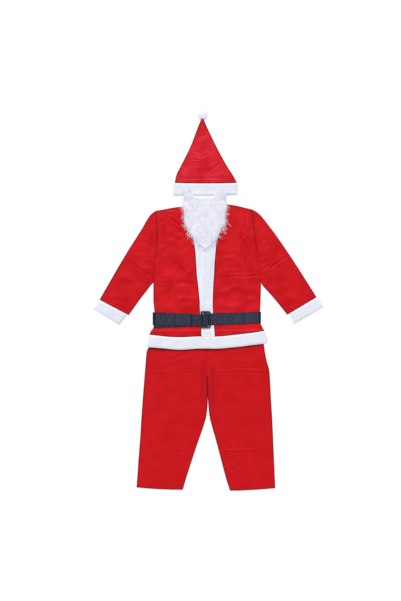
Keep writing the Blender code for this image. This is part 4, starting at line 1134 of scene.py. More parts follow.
sleeve("right_sleeve", "sleeve_right", SLEEVE_RIGHT, body_right, -ARMHOLE, 31)
sleeve("left_sleeve", "sleeve_left", SLEEVE_LEFT, body_left, ARMHOLE, 36)


# %% Cuffs
def painted_seam_highlight(end, side, v):
    """Distance for the materials: only the sewn edge of a white band gets a painted highlight."""
    return np.where(v < 0.5, end, PAINTED_RIM_REACH)


def cuff(name, node, source, seed):
    """A white band at the end of a sleeve, doubled and full."""
    def relief(x, y, edge):
        return 1.5 * smooth(edge / 7.0) + 0.35 * slow_waves(x, y, seed, 50.0) * smooth(edge / 8.0)

    made = tube(
        name, source, TRIM_WALL, lambda v: 2.8 * (0.75 + 0.25 * np.sin(math.pi * v)), relief, trim_white,
        122.0, 48.0, 2.6, painted_seam_highlight,
    )
    lay(made, node, "white_trim", (0.25, 0.053), tube_area(source), "paper_floor", held="folded")


cuff("right_cuff", "cuff_right", CUFF_RIGHT, 41)
cuff("left_cuff", "cuff_left", CUFF_LEFT, 44)

# %% [markdown]
# ## Trousers
#
# Each leg is a front and a back. The backs lie flat on the floor, and the fronts rest on them, a few
# millimetres up where air is caught between the layers. The waist is a gathered casing for elastic, hidden
# inside the jacket. Packing left one sharp fold right across both legs and another by one knee.

# %% Creases of the trousers
TROUSER_CREASES = table(
    CREASE, (-234, -285, -154, -285, 0, 1.2, 3), (-142, -280, -23, -281, 0, 0.8, 3),
    (84, -274, 235, -278, -1, 1.8, 3.2), (29, -280, 96, -279, 0, 1.0, 3), (100, -260, 199, -258, 0, 0.8, 3),
    (-22, -236, -28, -415, 1, -0.8, 5), (-6, -244, -10, -371, 0, 0.6, 3), (13, -260, 21, -391, -1, -0.7, 5),
    (-39, -292, -49, -411, 1, -0.5, 5), (37, -300, 43, -403, 0, -0.5, 5), (-214, -266, -27, -211, 2, 0.9, 7),
    (-194, -232, -51, -193, 0, 0.5, 6), (-130, -592, -63, -595, 0, 1.0, 3),
    (48, -595, 195, -592, -1, 1.7, 3.2), (60, -566, 148, -562, 0, 0.4, 4),
    (82, -638, 142, -703, -1, 1.2, 3.5), (92, -630, 136, -673, 0, -0.8, 4),
    (176, -610, 172, -713, 0, 0.8, 8), (-91, -435, -102, -673, 2, 0.3, 8),
    (-174, -375, -182, -554, 0, 0.2, 9), (124, -375, 136, -522, 2, 0.2, 9),
    (-154, -665, -106, -641, 0, 0.5, 6), (21, -213, 68, -244, 1, 0.5, 6),
)
trouser_hem = edge_of(TROUSER_HEM, "x", "y")
print("creases of the trousers:", len(TROUSER_CREASES["x1"]))


# %% Legs
LEG_HEM = 17.0  # the hem's stitches are this far up
HEM_LINE = -735.0  # a level close to the hem, for the ends of its stitches
CROTCH_SHADE = table("x top bottom", (-23, -228, -450), (15, -240, -470))  # painted shade in the valleys beside the seam
PLAIN_SEAM = -312.0  # above this level the centre seam gets no painted rim shade
COVERED_FROM = -196.0  # above this one the jacket presses the fronts flat


def leg(side, sign, seed):
    """Front and back of one leg; sign is -1 on the wearer's right and 1 on the left."""
    crotch = CENTRE_SEAM["y"][-1]
    outer = edge_of(TROUSER_SIDES, "y", side)

    def inner(y):
        middle = np.where(y > crotch, follow(CENTRE_SEAM, "y", "x", y), follow(INSEAMS, "y", side, y))
        return middle + sign * SEAM

    def plan(step, tuck=0.0):
        def seam(y):
            return inner(y) + tuck * smooth((y - crotch) / 24.0)

        low, high = (outer, seam) if sign < 0 else (seam, outer)
        return spread(250.0, 595.0, step, low, high, straight(WAIST_SEAM - SEAM), trouser_hem)

    def level(x, y):
        from_side = smooth(np.abs(x - outer(y)) / LAYER_SIDE)
        centre = follow(TROUSER_RISE, "y", "centre", y)
        middle = centre + (1.0 - centre) * smooth(np.abs(x - inner(y)) / LAYER_SIDE)
        return RED_WALL + GAP + follow(TROUSER_RISE, "y", "inside", y) * from_side * middle

    def shade(x, y, edge):
        """Distance for the materials: painted shade at the rims and in the valleys by the crotch, and a
        painted shadow under the jacket's hem.
        """
        at_seam = smooth((y - PLAIN_SEAM) / 16.0) * smooth((20.0 - np.abs(x - inner(y))) / 6.0)
        painted_rim_distance = np.maximum(edge, PAINTED_RIM_REACH * at_seam)
        for middle, top, bottom in zip(*CROTCH_SHADE.values()):
            painted_valley_shade = np.exp(-(((x - middle) / 12.0) ** 2))
            painted_valley_shade = painted_valley_shade * smooth((top - y) / 30.0) * smooth((y - bottom) / 60.0)
            painted_rim_distance = np.minimum(painted_rim_distance, PAINTED_RIM_REACH - 1.8 * painted_valley_shade)
        # painted shadow under the jacket's hem, wider towards the wearer's right
        hem_shadow_slope = 0.2 + 1.2 * smooth((x + 190.0) / 150.0)
        return np.minimum(painted_rim_distance, 1.8 + hem_shadow_slope * np.maximum(hem_edge(x) - y, 0.0))

    x, y = plan(3.7)
    edge = rim_distance(x, y)
    relief = creases(x, y, TROUSER_CREASES) + 0.5 * slow_waves(x, y, seed, 84.0)
    relief = relief * smooth(edge / 14.0) * smooth((COVERED_FROM - y) / 24.0) + pucker(edge, x, y, seed + 1)
    above_hem = y - trouser_hem(x)
    relief -= 0.4 * np.exp(-(((above_hem - LEG_HEM) / 1.8) ** 2)) * smooth(edge / 4.0)
    lying = np.maximum(level(x, y) + relief, RED_WALL + LEAST_GAP)
    front = panel(side + "_leg_front", x, y, lying + RED_WALL / 2, RED_WALL, trouser_red, shade(x, y, edge))
    ends = float(inner(HEM_LINE)) + 3.0 * sign, float(outer(HEM_LINE)) - 3.0 * sign
    run = np.linspace(*ends, 70)
    top = np.interp(run, x[-12], lying[-12] + RED_WALL) - STITCH_SUNK
    line = (run, trouser_hem(run) + LEG_HEM, top)
    row = stitches(side + "_leg_hem_stitches", [line], red_thread, "red_cloth")
    area = cut_area(x, y)
    lay(front, "trouser_front_" + side, "red_cloth", (0.27, 0.60), area, side + "_leg_back", row=row)

    x, y = plan(14.0, TUCK)
    back = panel(side + "_leg_back", x, y, RED_WALL / 2 + 0 * x, RED_WALL, trouser_red)
    lay(back, "trouser_back_" + side, "red_cloth", (0.27, 0.60), area, "paper_floor")


leg("right", -1, 51)
leg("left", 1, 57)

# %% Waist
GATHER = 11.0  # width of one gather of the casing
CASING = (0.41, 0.026)

x, y = spread(
    400.0, 25.0, 3.0, edge_of(TROUSER_SIDES, "y", "right"), edge_of(TROUSER_SIDES, "y", "left"),
    straight(WAIST_TOP), straight(WAIST_SEAM + SEAM),
)
gathers = 0.12 * np.sin(2 * math.pi * x / GATHER + 1.3 * np.sin(x / 37.0)) * smooth(rim_distance(x, y) / 4.0)
for waist_side, height in (("back", WAIST_WALL / 2), ("front", WAIST_WALL * 1.5 + GAP)):
    waist = panel(f"waistband_{waist_side}_cloth", x, y, height + gathers, WAIST_WALL - 0.25, trouser_red)
    area = min(cut_area(x, y), 0.994 * CASING[0] * CASING[1])
    lay(waist, "waistband_" + waist_side, "red_cloth", CASING, area, "paper_floor", held="gathered")

# %% [markdown]
# ## Belt
#
# The belt is one strap of black webbing. From its free end it runs over the wearer's right front, round the
# back under the jacket, and comes back across both fronts, through the buckle, to lie under its own free
# end. The route is a line in the frame's X and Z, with a half round at each side. The wall follows it, a
# little thicker along both selvedges, and the top layer has the shallow crinkles that stiff webbing gets.


# %% Route of the strap
def strap_seat(x):
    """Top of what the strap lies on in front."""
    y = BUCKLE_AT[1]
    side = min(x - float(body_right(y)), float(body_left(y)) - x)
    rise = float(follow(BODY_RISE, "y", "inside", y)) * float(smooth(side / LAYER_SIDE))
    return BELT_UNDER + RED_WALL + GAP + rise + float(follow(STRAP_PILE, "x", "height", x)) + GAP


def strap_level(x, layer):
    """Middle of the strap's thickness in each of its layers; layer 3 passes over the buckle's bar."""
    if layer < 0.5:
        return WEB_WALL / 2
    over_seat = {1: WEB_WALL / 2, 2: WEB_WALL * 1.5 + GAP, 3: WEB_WALL / 2 + OVER_BAR}
    return strap_seat(min(max(x, -206.0), 200.0)) + over_seat[int(round(layer))]


def strap_route():
    """The strap's middle line with its two side folds as half rounds: x, z, top and bottom."""
    route = []
    count = len(STRAP["x"])
    for i in range(count):
        x, layer, top, bottom = (STRAP[column][i] for column in ("x", "layer", "top", "bottom"))
        z = strap_level(x, layer)
        route.append((x, z, top, bottom))
        if i + 1 == count or STRAP["x"][i + 1] != x:
            continue
        other = strap_level(x, STRAP["layer"][i + 1])
        radius = abs(z - other) / 2
        start = math.pi / 2 if z > other else -math.pi / 2
        turn = -math.pi if z > other else math.pi
        for angle in start + turn * np.linspace(0.0, 1.0, 11)[1:-1]:
            outward = (-1.0 if x < 0 else 1.0) * radius * math.cos(angle)
            route.append((x + outward, (z + other) / 2 + radius * math.sin(angle), top, bottom))
    return np.array(route)


# %% Strap
STRAP_WIDTH = 47.0
SELVEDGE = 0.22  # how much thicker the two woven edges are

route = strap_route()
run = np.concatenate([[0.0], np.hypot(np.diff(route[:, 0]), np.diff(route[:, 1])).cumsum()])
belt_length = run[-1]
at = stations(belt_length, 2.0) * belt_length
line = np.stack([np.interp(at, run, route[:, i]) for i in range(4)], axis=1)
for _ in range(2):
    line[1:-1] = (line[:-2] + 2 * line[1:-1] + line[2:]) / 4
tangent = np.gradient(line[:, :2], at, axis=0)
tangent /= np.linalg.norm(tangent, axis=1, keepdims=True)
middle_x, middle_z, top, bottom = (line[:, i, None] for i in range(4))
s, w = np.meshgrid(at, stations(STRAP_WIDTH, 2.6), indexing="ij")
selvedge = np.minimum(w, 1 - w) * STRAP_WIDTH
edge = np.minimum(np.minimum(s, belt_length - s), selvedge)
bead = SELVEDGE * np.exp(-(((selvedge - 1.6) / 1.1) ** 2))
half = (WEB_WALL / 2 - 0.05 + bead / 2) * rounded(edge, WEB_WALL)
on_front = smooth(-tangent[:, None, 0])  # the outer side faces up where the strap runs towards -X
free_end = smooth((150.0 - s) / 20.0)
crinkle = 0.75 * (np.sin(s / 2.3 + 0.7 * np.sin(w * 5)) * np.sin(s / 9.1 + 2.2 * w) + 1.0)
crinkle = crinkle * smooth(edge / 3.0) * (0.25 + 0.75 * free_end) * smooth((s - 2.0) / 6.0) * on_front
y = top + (bottom - top) * w
upper, lower = (
    (
        middle_x + tangent[:, None, 1] * side * half,
        y,
        np.maximum(middle_z - tangent[:, None, 0] * side * half + crinkle, 0.0),
    )
    for side in (1, -1)
)

# %% Painted shade on the strap
# Painted shade in lines across the strap: in the creases from its folds, then where it dives under the
# buckle, and beside and inside it
STRAP_SHADE_LINES = table(
    "x wide dark top bottom", (-136.5, 2.4, 1.7, -0.2, 1.2), (-148, 2.4, 0.8, -0.2, 1.2),
    (-165, 2.2, 1.6, 0.3, 0.75), (-175, 2.6, 1.1, -0.2, 0.6), (-183, 2.0, 1.1, 0.1, 0.55),
    (-191, 2.4, 1.5, 0.15, 0.95), (-49, 13, 0.8, -0.2, 1.2), (-26, 4.2, 2.7, -0.2, 1.2),
    (-1, 4.2, 2.7, -0.2, 1.2), (-13, 8, 1.1, -0.2, 1.2),
)

# The distance that the webbing's material sees for its painted shade: dark at the side folds, the free end
# and the lines above
from_fold = np.minimum(np.abs(middle_x - STRAP["x"].min()), np.abs(middle_x - STRAP["x"].max()))
web_shade_distance = np.minimum(edge, 0.6 * np.maximum(from_fold - 4.5, 0.0))
web_shade_distance = np.minimum(web_shade_distance, 0.5 * np.maximum(s - 2.0, 0.0))
for x, wide, dark, mark_top, mark_bottom in zip(*STRAP_SHADE_LINES.values()):
    here = np.exp(-(((middle_x - x) / wide) ** 2))
    here = here * smooth((w - mark_top) / 0.12) * smooth((mark_bottom - w) / 0.12)
    web_shade_distance = np.minimum(web_shade_distance, 3.0 - dark * here * smooth(middle_z - WEB_WALL))
belt_strap = wall("belt_webbing_strap", upper, lower, belt_web, web_shade_distance, weave=(s, w * STRAP_WIDTH))
rows = []
for place in (9.0, 15.0):  # two rows hold down the free end's turning
    x, y, z = (values[int(np.argmin(np.abs(at - place))), 3:-3] for values in upper)
    rows.append((x, y, z - 0.2))
row = stitches("belt_end_stitches", rows, black_thread, "belt_webbing")
lay(  # no area is given, because the strap's cut fills its flat size
    belt_strap, "belt_strap", "belt_webbing", (0.047, float(belt_length) * MM), None,
    "jacket_right_front_cloth", "jacket_left_front_cloth", "belt_buckle_frame", held="folded", row=row,
)
print("belt", round(belt_length), "mm")

# %% [markdown]
# ## Buckle
#
# A slide buckle is moulded in one piece: a frame round two slots, with a low bar between them that the
# webbing passes over. A flat curve with its slots as inner loops gives the outline, a Boolean lowers the
# bar, and a small bevel takes the sharp edges off as the mould does. A raised lip runs round the top, along
# the frame and each slot.


# %% Buckle outlines
def rounded_rectangle(centre, size, corners, segments=8):
    """Outline points; corners holds the radius at each corner, anticlockwise from the lower left."""
    half_x, half_y = size[0] / 2, size[1] / 2
    points = []
    for quarter, (sx, sy) in enumerate([(-1, -1), (1, -1), (1, 1), (-1, 1)]):
        radius = corners[quarter]
        middle = (centre[0] + sx * (half_x - radius), centre[1] + sy * (half_y - radius))
        start = math.pi * (1.0 + quarter / 2)
        for angle in np.linspace(start, start + math.pi / 2, segments + 1):
            points.append((middle[0] + radius * math.cos(angle), middle[1] + radius * math.sin(angle)))
    return points


def curve_mesh(name, outlines, height, **shape):
    """A mesh from closed outlines at one height, filled and extruded or with a round section."""
    curve = bpy.data.curves.new(name, "CURVE")
    for key, value in shape.items():
        setattr(curve, key, value)
    for outline in outlines:
        spline = curve.splines.new("POLY")
        spline.points.add(len(outline) - 1)
        spline.use_cyclic_u = True
        for point, (px, py) in zip(spline.points, outline):
            point.co = ((px - CENTRE[0]) * MM, (py - CENTRE[1]) * MM, 0.0, 1.0)
    source = in_scene(name, curve)
    mesh = as_mesh(source)
    bpy.data.objects.remove(source)
    for vertex in mesh.vertices:
        vertex.co.z += height * MM
    return mesh


# %% Buckle frame
BAR_AT = sum(SLOT_PLACES) / 2
BAR_CUT = (BAR_WIDTH, BUCKLE_SLOT[1] - 1.0, 10.0)
buckle_base = strap_seat(BUCKLE_AT[0]) + WEB_WALL + GAP
buckle_top = buckle_base + BUCKLE_WALL
frame_outline = rounded_rectangle(BUCKLE_AT, BUCKLE_SIZE, BUCKLE_CORNERS)
slot_outlines = [
    rounded_rectangle((BUCKLE_AT[0] + offset, BUCKLE_AT[1]), BUCKLE_SLOT, (SLOT_CORNER,) * 4, 4)[::-1]
    for offset in SLOT_PLACES
]
plate = curve_mesh(
    "buckle_plate", [frame_outline, *slot_outlines], (buckle_base + buckle_top) / 2,
    dimensions="2D", fill_mode="BOTH", extrude=BUCKLE_WALL / 2 * MM,
)
bm = bmesh.new()
bm.from_mesh(plate)
bmesh.ops.remove_doubles(bm, verts=bm.verts[:], dist=1e-6)
bmesh.ops.recalc_face_normals(bm, faces=bm.faces[:])
bm.to_mesh(plate)
bm.free()
buckle = in_scene("belt_buckle_frame", plate)

cutter_mesh = bpy.data.meshes.new("bar_cutter")
bm = bmesh.new()
bmesh.ops.create_cube(bm, size=1.0)
bmesh.ops.scale(bm, vec=tuple(c * MM for c in BAR_CUT), verts=bm.verts[:])
cut_base = buckle_base + BAR_WALL
cut_at = (BUCKLE_AT[0] + BAR_AT - CENTRE[0], BUCKLE_AT[1] - CENTRE[1], cut_base + BAR_CUT[2] / 2)
bmesh.ops.translate(bm, vec=tuple(c * MM for c in cut_at), verts=bm.verts[:])
bm.to_mesh(cutter_mesh)
bm.free()
bar_cutter = in_scene("bar_cutter", cutter_mesh)
lower_bar = buckle.modifiers.new("lower the bar", "BOOLEAN")
lower_bar.operation = "DIFFERENCE"
lower_bar.object = bar_cutter
soften = buckle.modifiers.new("soften the edges", "BEVEL")
soften.width = 0.6 * MM
soften.segments = 3
soften.angle_limit = math.radians(40)
moulded = as_mesh(buckle)
buckle.modifiers.clear()
buckle.data = moulded
bpy.data.objects.remove(bar_cutter)

# %% Raised lips of the buckle
LIP = 0.9
lip_lines = [
    rounded_rectangle(BUCKLE_AT, (BUCKLE_SIZE[0] - 3.4, BUCKLE_SIZE[1] - 3.4), (2.0, 7.4, 7.4, 2.0)),
    rounded_rectangle(
        (BUCKLE_AT[0] + BAR_AT, BUCKLE_AT[1]), (BUCKLE_SIZE[0] - 9.2, BUCKLE_SLOT[1] + 3.2),
        (2.0, 4.0, 4.0, 2.0),
    ),
]
lips = curve_mesh(
    "buckle_lips", lip_lines, buckle_top, dimensions="3D", bevel_depth=LIP * MM, bevel_resolution=3
)
bm = bmesh.new()
bm.from_mesh(buckle.data)
bm.from_mesh(lips)
bm.to_mesh(buckle.data)
bm.free()
buckle.data.materials.clear()
buckle.data.materials.append(buckle_black)
buckle.data.shade_smooth()
buckle.data.set_sharp_from_angle(angle=math.radians(50))
keep(buckle, "belt_buckle", slot="buckle_plastic")

# %% [markdown]
# ## Hat
#
# The cone is a front and a back sewn along both sides, and its tip lies up on the pompom. A doubled white
# band closes its mouth. It is laid flat too, with soft drags where the cone was folded.

# %% Creases of the hat
HAT_CREASES = table(
    CREASE, (-49, 645, -1, 661, 0, -2.2, 8), (-34, 698, -12, 700, 0, -1.4, 6),
    (-75, 592, -27, 584, 1, -0.9, 3.5), (-29, 586, -1, 608, 0, -0.9, 3), (-87, 563, -1, 554, -1, -1.3, 2.8),
    (-85, 549, -7, 547, 0, -1.1, 3), (-108, 537, -65, 505, 0, -1.2, 3.5), (-7, 508, 48, 545, 1, -1.3, 4),
    (-102, 484, 72, 488, -1, -0.9, 3), (-37, 563, 13, 594, 0, -1.0, 3.5), (-79, 610, -55, 600, 0, -0.7, 3),
    (17, 558, 37, 570, 0, 0.5, 3), (-67, 526, -7, 524, 2, 0.8, 5), (21, 495, 60, 506, 0, 0.6, 4),
    (-114, 502, -75, 487, 0, 0.8, 5), (-43, 634, -19, 622, 0, 0.5, 3), (-19, 685, -7, 634, 0, 0.4, 3),
    (-132, 479, 108, 481, 6, -1.0, 4),
)
cap_right, cap_left = edge_of(CAP, "y", "right"), edge_of(CAP, "y", "left")


def cap_lift(y):
    """The cone's tip climbs onto the pompom."""
    return TIP_LIFT * smooth((y - LIFT_START) / (CAP_TIP - LIFT_START))


def along_band(x):
    """Place along the hat's band, from 0 at the wearer's right to 1."""
    start, end = CAP_BAND["outer_x"][0], CAP_BAND["inner_x"][0]
    return np.clip((x - start) / (end - start), 0.0, 1.0)


def cap_base(x):
    """The seam over the band bows down a little in the middle."""
    return CAP_BASE - CAP_BOW[0] * np.sin(math.pi * along_band(x))


print("creases of the hat:", len(HAT_CREASES["x1"]))

# %% Cone
CONE_CUT = (0.255, 0.26)


def cap_rise(x, y):
    """How far the front of the cone stands above its back."""
    room = (cap_left(y) - cap_right(y)) / 2
    side = np.minimum(x - cap_right(y), cap_left(y) - x) / np.minimum(LAYER_SIDE, room)
    return 3.2 * smooth(side) * smooth(room / 40.0)


def cone_plan(step):
    return spread(200.0, 255.0, step, cap_right, cap_left, straight(CAP_TIP), cap_base)


x, y = cone_plan(2.6)
edge = rim_distance(x, y)
relief = creases(x, y, HAT_CREASES) + 0.7 * slow_waves(x, y, 61, 44.0)
relief = relief * smooth(edge / 12.0) + pucker(edge, x, y, 62)
level = cap_lift(y) + RED_WALL + GAP + cap_rise(x, y) + RED_WALL / 2
level = np.maximum(level + relief, cap_lift(y) + 1.5 * RED_WALL + LEAST_GAP)
hat_front = panel("hat_front_cloth", x, y, level, RED_WALL, hat_red)
lay(hat_front, "hat_front", "red_cloth", CONE_CUT, cut_area(x, y), "hat_back_cloth")

x, y = cone_plan(9.0)
hat_back = panel("hat_back_cloth", x, y, cap_lift(y) + RED_WALL / 2, RED_WALL, hat_red)
lay(hat_back, "hat_back", "red_cloth", CONE_CUT, cut_area(x, y), "paper_floor")


# %% Hat band
ROLL_FROM = 440.0  # below this level the folded edge rolls up a little


def hat_band_relief(x, y, edge):
    """Full and uneven, with a roll along the folded lower edge."""
    lower_roll = 1.3 * smooth((ROLL_FROM - y) / 14.0) * smooth(edge / 6.0)
    return lower_roll + (1.7 + 0.4 * slow_waves(x, y, 65, 58.0)) * smooth(edge / 8.0)


hat_band = tube(
    "hat_white_band", CAP_BAND, TRIM_WALL, straight(2.2), hat_band_relief, trim_white, 256.0, HAT_BAND_WIDTH,
    2.8, painted_seam_highlight,
)
for vertex in hat_band.data.vertices:
    place = along_band(vertex.co.x / MM + CENTRE[0])
    down = (CAP_BAND["outer_y"][0] - vertex.co.y / MM - CENTRE[1]) / HAT_BAND_WIDTH
    bow = CAP_BOW[0] + (CAP_BOW[1] - CAP_BOW[0]) * np.clip(down, 0.0, 1.0)
    vertex.co.y -= bow * math.sin(math.pi * place) * MM
area = tube_area(CAP_BAND) * 1.04  # with what the folds take up
lay(hat_band, "hat_band", "white_trim", (0.52, 0.055), area, "paper_floor", held="folded")

# %% [markdown]
# ## Fibre
#
# The beard is crimped fibre carded into a thick mat, and the pompom is a ball of cut yarn. Both are
# thousands of hairs with their roots on a surface, which is work for one Geometry Nodes tree: it scatters
# roots by a density and a seed, picks one of a few coiled locks, leans it along the attribute `flow` and
# gives it a random turn and size. The locks are spirals whose coils open towards the tip, with three sides
# each.

# %% Tree: locks on a surface
LOCKS = table(
    "turns start end length", (2.2, 0.3, 2.4, 27), (1.6, 0.3, 3.2, 24), (2.8, 0.5, 1.7, 31),
    (1.1, 0.2, 4.0, 21), (1.9, 0.8, 1.2, 34),
)
YARN = table("turns start end length", (0.3, 0.2, 0.9, 11), (0.4, 0.1, 1.4, 10), (0.2, 0.2, 0.6, 12))


def vector_sum(tree, *vectors):
    total = vectors[0]
    for vector in vectors[1:]:
        added = put(tree, "ShaderNodeVectorMath", {"operation": "ADD"})
        feed(tree, added.inputs[0], total)
        feed(tree, added.inputs[1], vector)
        total = added.outputs[0]
    return total


def scaled(tree, vector, by):
    made = put(tree, "ShaderNodeVectorMath", {"operation": "SCALE"}, Scale=by)
    feed(tree, made.inputs[0], vector)
    return made.outputs[0]


def random_value(tree, seed, low, high):
    """A random number at each root between two numbers, or a random vector between two vectors."""
    kind, first, output = ("FLOAT_VECTOR", 0, 0) if isinstance(low, tuple) else ("FLOAT", 2, 1)
    made = put(tree, "FunctionNodeRandomValue", {"data_type": kind}, Seed=seed)
    made.inputs[first].default_value = low
    made.inputs[first + 1].default_value = high
    return made.outputs[output]


def lock_tree(name, rows, steps_a_turn):
    """A tree that grows one of the table's locks from each scattered root."""
    tree, given, wanted = group_tree(
        name,
        [
            ("Geometry", "Geometry"), ("Density", "Float", 50000.0), ("Seed", "Int", 1),
            ("Size", "Float", 1.0), ("Fibre radius", "Float", 0.0004), ("Stand", "Float", 0.4),
            ("Wildness", "Float", 0.3),
        ],
        [("Geometry", "Geometry")],
        "GeometryNodeTree",
    )
    seed = given["Seed"]
    roots = put(
        tree, "GeometryNodeDistributePointsOnFaces", Mesh=given["Geometry"], Density=given["Density"],
        Seed=seed,
    )
    section = put(tree, "GeometryNodeCurvePrimitiveCircle", Resolution=3, Radius=given["Fibre radius"])
    joined = tree.nodes.new("GeometryNodeJoinGeometry")
    share = put(tree, "GeometryNodeSplineParameter").outputs["Factor"]
    taper = maths(tree, "SUBTRACT", 1.0, maths(tree, "MULTIPLY", share, 0.65))
    for turns, start, end, length in zip(*rows.values()):
        coil = put(
            tree, "GeometryNodeCurveSpiral", Resolution=steps_a_turn, Rotations=float(turns),
            Start_Radius=float(start) * MM, End_Radius=float(end) * MM, Height=float(length) * MM,
        )
        thin = put(tree, "GeometryNodeSetCurveRadius", Curve=coil.outputs[0], Radius=taper)
        hair = put(tree, "GeometryNodeCurveToMesh", Curve=thin.outputs[0], Profile_Curve=section.outputs[0])
        single = put(tree, "GeometryNodeGeometryToInstance", Geometry=hair.outputs[0])
        tree.links.new(single.outputs[0], joined.inputs[0])
    flow = put(tree, "GeometryNodeInputNamedAttribute", {"data_type": "FLOAT_VECTOR"}, Name="flow").outputs[0]
    up = scaled(tree, roots.outputs["Normal"], given["Stand"])
    stray = scaled(tree, random_value(tree, seed, (-1.0,) * 3, (1.0,) * 3), given["Wildness"])
    aim = vector_sum(tree, flow, up, stray)
    along = put(tree, "FunctionNodeAlignRotationToVector", {"axis": "Z"}, Vector=aim)
    turn = random_value(tree, maths(tree, "ADD", seed, 7.0), 0.0, 2 * math.pi)
    spin = put(tree, "FunctionNodeAxisAngleToRotation", Axis=(0.0, 0.0, 1.0), Angle=turn)
    turned = put(
        tree, "FunctionNodeRotateRotation", {"rotation_space": "LOCAL"}, Rotation=along.outputs[0],
        Rotate_By=spin.outputs[0],
    )
    size = random_value(tree, maths(tree, "ADD", seed, 13.0), 0.6, 1.2)
    placed = put(
        tree, "GeometryNodeInstanceOnPoints", Points=roots.outputs["Points"], Instance=joined.outputs[0],
        Pick_Instance=True, Rotation=turned.outputs[0], Scale=maths(tree, "MULTIPLY", size, given["Size"]),
    )
    real = put(tree, "GeometryNodeRealizeInstances", Geometry=placed.outputs[0])
    tinted = put(tree, "GeometryNodeSetMaterial", Geometry=real.outputs[0])
    feed(tree, wanted["Geometry"], tinted.outputs[0])
    return tree


curly = lock_tree("Curly locks", LOCKS, 7)
yarn_ends = lock_tree("Yarn ends", YARN, 12)
print("trees", curly.name, "and", yarn_ends.name, len(curly.nodes), "nodes in the first")

# %% [markdown]
# ## Beard
#
# The mat is thickest along its middle, with two ears under the hat's band and a slot for the mouth between
# them. It keeps the mat's solid form, a little lower, and its flow runs down and outwards as combed fibre
# does. The locks grown on it make the surface; a narrow strip down each side carries the wild curls that
# stand out over the red cloth.


# %% Beard mat
BEARD_EDGE = 4.0
MAT_LOW = 1.4  # the mat lies this much under its solid, to leave room for the locks
TIP_FROM = 262.0  # below this level the beard thins out to single locks
beard_under = edge_of(BEARD_UNDER, "y", "z")
beard_right, beard_left = edge_of(BEARD, "y", "right"), edge_of(BEARD, "y", "left")

u, v = np.meshgrid(stations(165.0, 3.0), stations(215.0, 3.0))
top = follow(BEARD_TOP, "u", "y", u)
y = top + (BEARD["y"][-1] - top) * v
x = beard_right(y) + (beard_left(y) - beard_right(y)) * u
across = (1.0 - np.abs(2 * u - 1) ** 3) ** 0.6
crown = follow(BEARD_CREST, "y", "z", y) - beard_under(y) - BEARD_EDGE
tufts = 0.8 * np.sin(x / 8.0 + 0.8 * np.sin(y / 21.0)) * np.sin(y / 10.0 + x / 26.0)
clumps = 0.5 * slow_waves(x, y, 71, 17.0) + 0.3 * slow_waves(x, y, 72, 8.0)
fullness = smooth((crown - 1.0) / 6.0)
height = BEARD_EDGE - 0.8 + np.maximum(crown - MAT_LOW + (tufts + clumps) * fullness, 0.0) * across
height *= 1.0 - 0.55 * smooth((TIP_FROM - y) / 45.0)
sole = 2.0 - 1.5 * smooth((TIP_FROM - y) / 30.0)
middle = beard_under(y) + sole
edge = rim_distance(x, y)
round_rim = rounded(edge, 5.0)
beard_mat = wall(
    "beard_mat", (x, y, middle + (height - sole) * round_rim), (x, y, middle - 0.8 * sole * round_rim),
    beard_white, edge,
)
keep(beard_mat, "beard", slot="beard_fibre")


# %% Flow of the fibre
EARS_FROM = 398.0  # above this level the fibre runs up over the ears


def points_of(obj):
    """Places of a mesh's points in metres, one to a row."""
    points = np.empty(len(obj.data.vertices) * 3)
    obj.data.vertices.foreach_get("co", points)
    return points.reshape(-1, 3)


def lie_on_cloth(obj):
    """Fibre that would sink into the cloth is bent to lie on it."""
    points = points_of(obj)
    under = beard_under(points[:, 1] / MM + CENTRE[1]) + GAP
    points[:, 2] = np.maximum(points[:, 2], under * MM)
    obj.data.vertices.foreach_set("co", points.ravel())


def set_flow(obj, flow_at):
    """Stores the direction of the locks at each point, from its place on the plan."""
    places = points_of(obj) / MM + (*CENTRE, 0.0)
    flow = np.stack(flow_at(*places.T), axis=1).astype(np.float32)
    obj.data.attributes.new("flow", "FLOAT_VECTOR", "POINT").data.foreach_set("vector", flow.ravel())


def beard_flow(x, y, z):
    """Down the beard and outwards at its sides, and up over the ears."""
    middle = (beard_right(y) + beard_left(y)) / 2
    out = (x - middle) / 85.0
    ears = smooth((y - EARS_FROM) / 22.0)
    swirl = 0.35 * np.sin(x / 17.0 + y / 31.0)
    return (0.75 * out + swirl) * smooth((y - 225.0) / 120.0), -1.0 + 1.4 * ears, -0.1 + 0 * z


set_flow(beard_mat, beard_flow)
scalp = in_scene("beard_roots", beard_mat.data.copy())
bm = bmesh.new()
bm.from_mesh(scalp.data)
bm.normal_update()
under = [face for face in bm.faces if face.normal.z < 0.12]
bmesh.ops.delete(bm, geom=under, context="FACES")
bm.to_mesh(scalp.data)
bm.free()
beard_locks = grown(
    "beard_locks", curly, scalp, beard_white, Density=62000.0, Seed=5, Size=0.72, Fibre_radius=0.00045,
    Stand=0.16, Wildness=0.36,
)
bpy.data.objects.remove(scalp)
lie_on_cloth(beard_locks)
keep(beard_locks, slot="beard_fibre")


# %% Wild curls at the sides
TUFTS = table(
    "side y spread", (-1, 356, 7), (-1, 294, 6), (-1, 268, 9), (-1, 250, 6), (1, 346, 7), (1, 322, 5),
    (1, 286, 7), (1, 256, 8),
)


STRIP_SPAN = (372.0, 238.0)  # levels that the strips run between
STRIP_WIDTH = 3.0
STRIP_OUT = GAP * 2 + 1.5  # middle of a strip, out from the mat


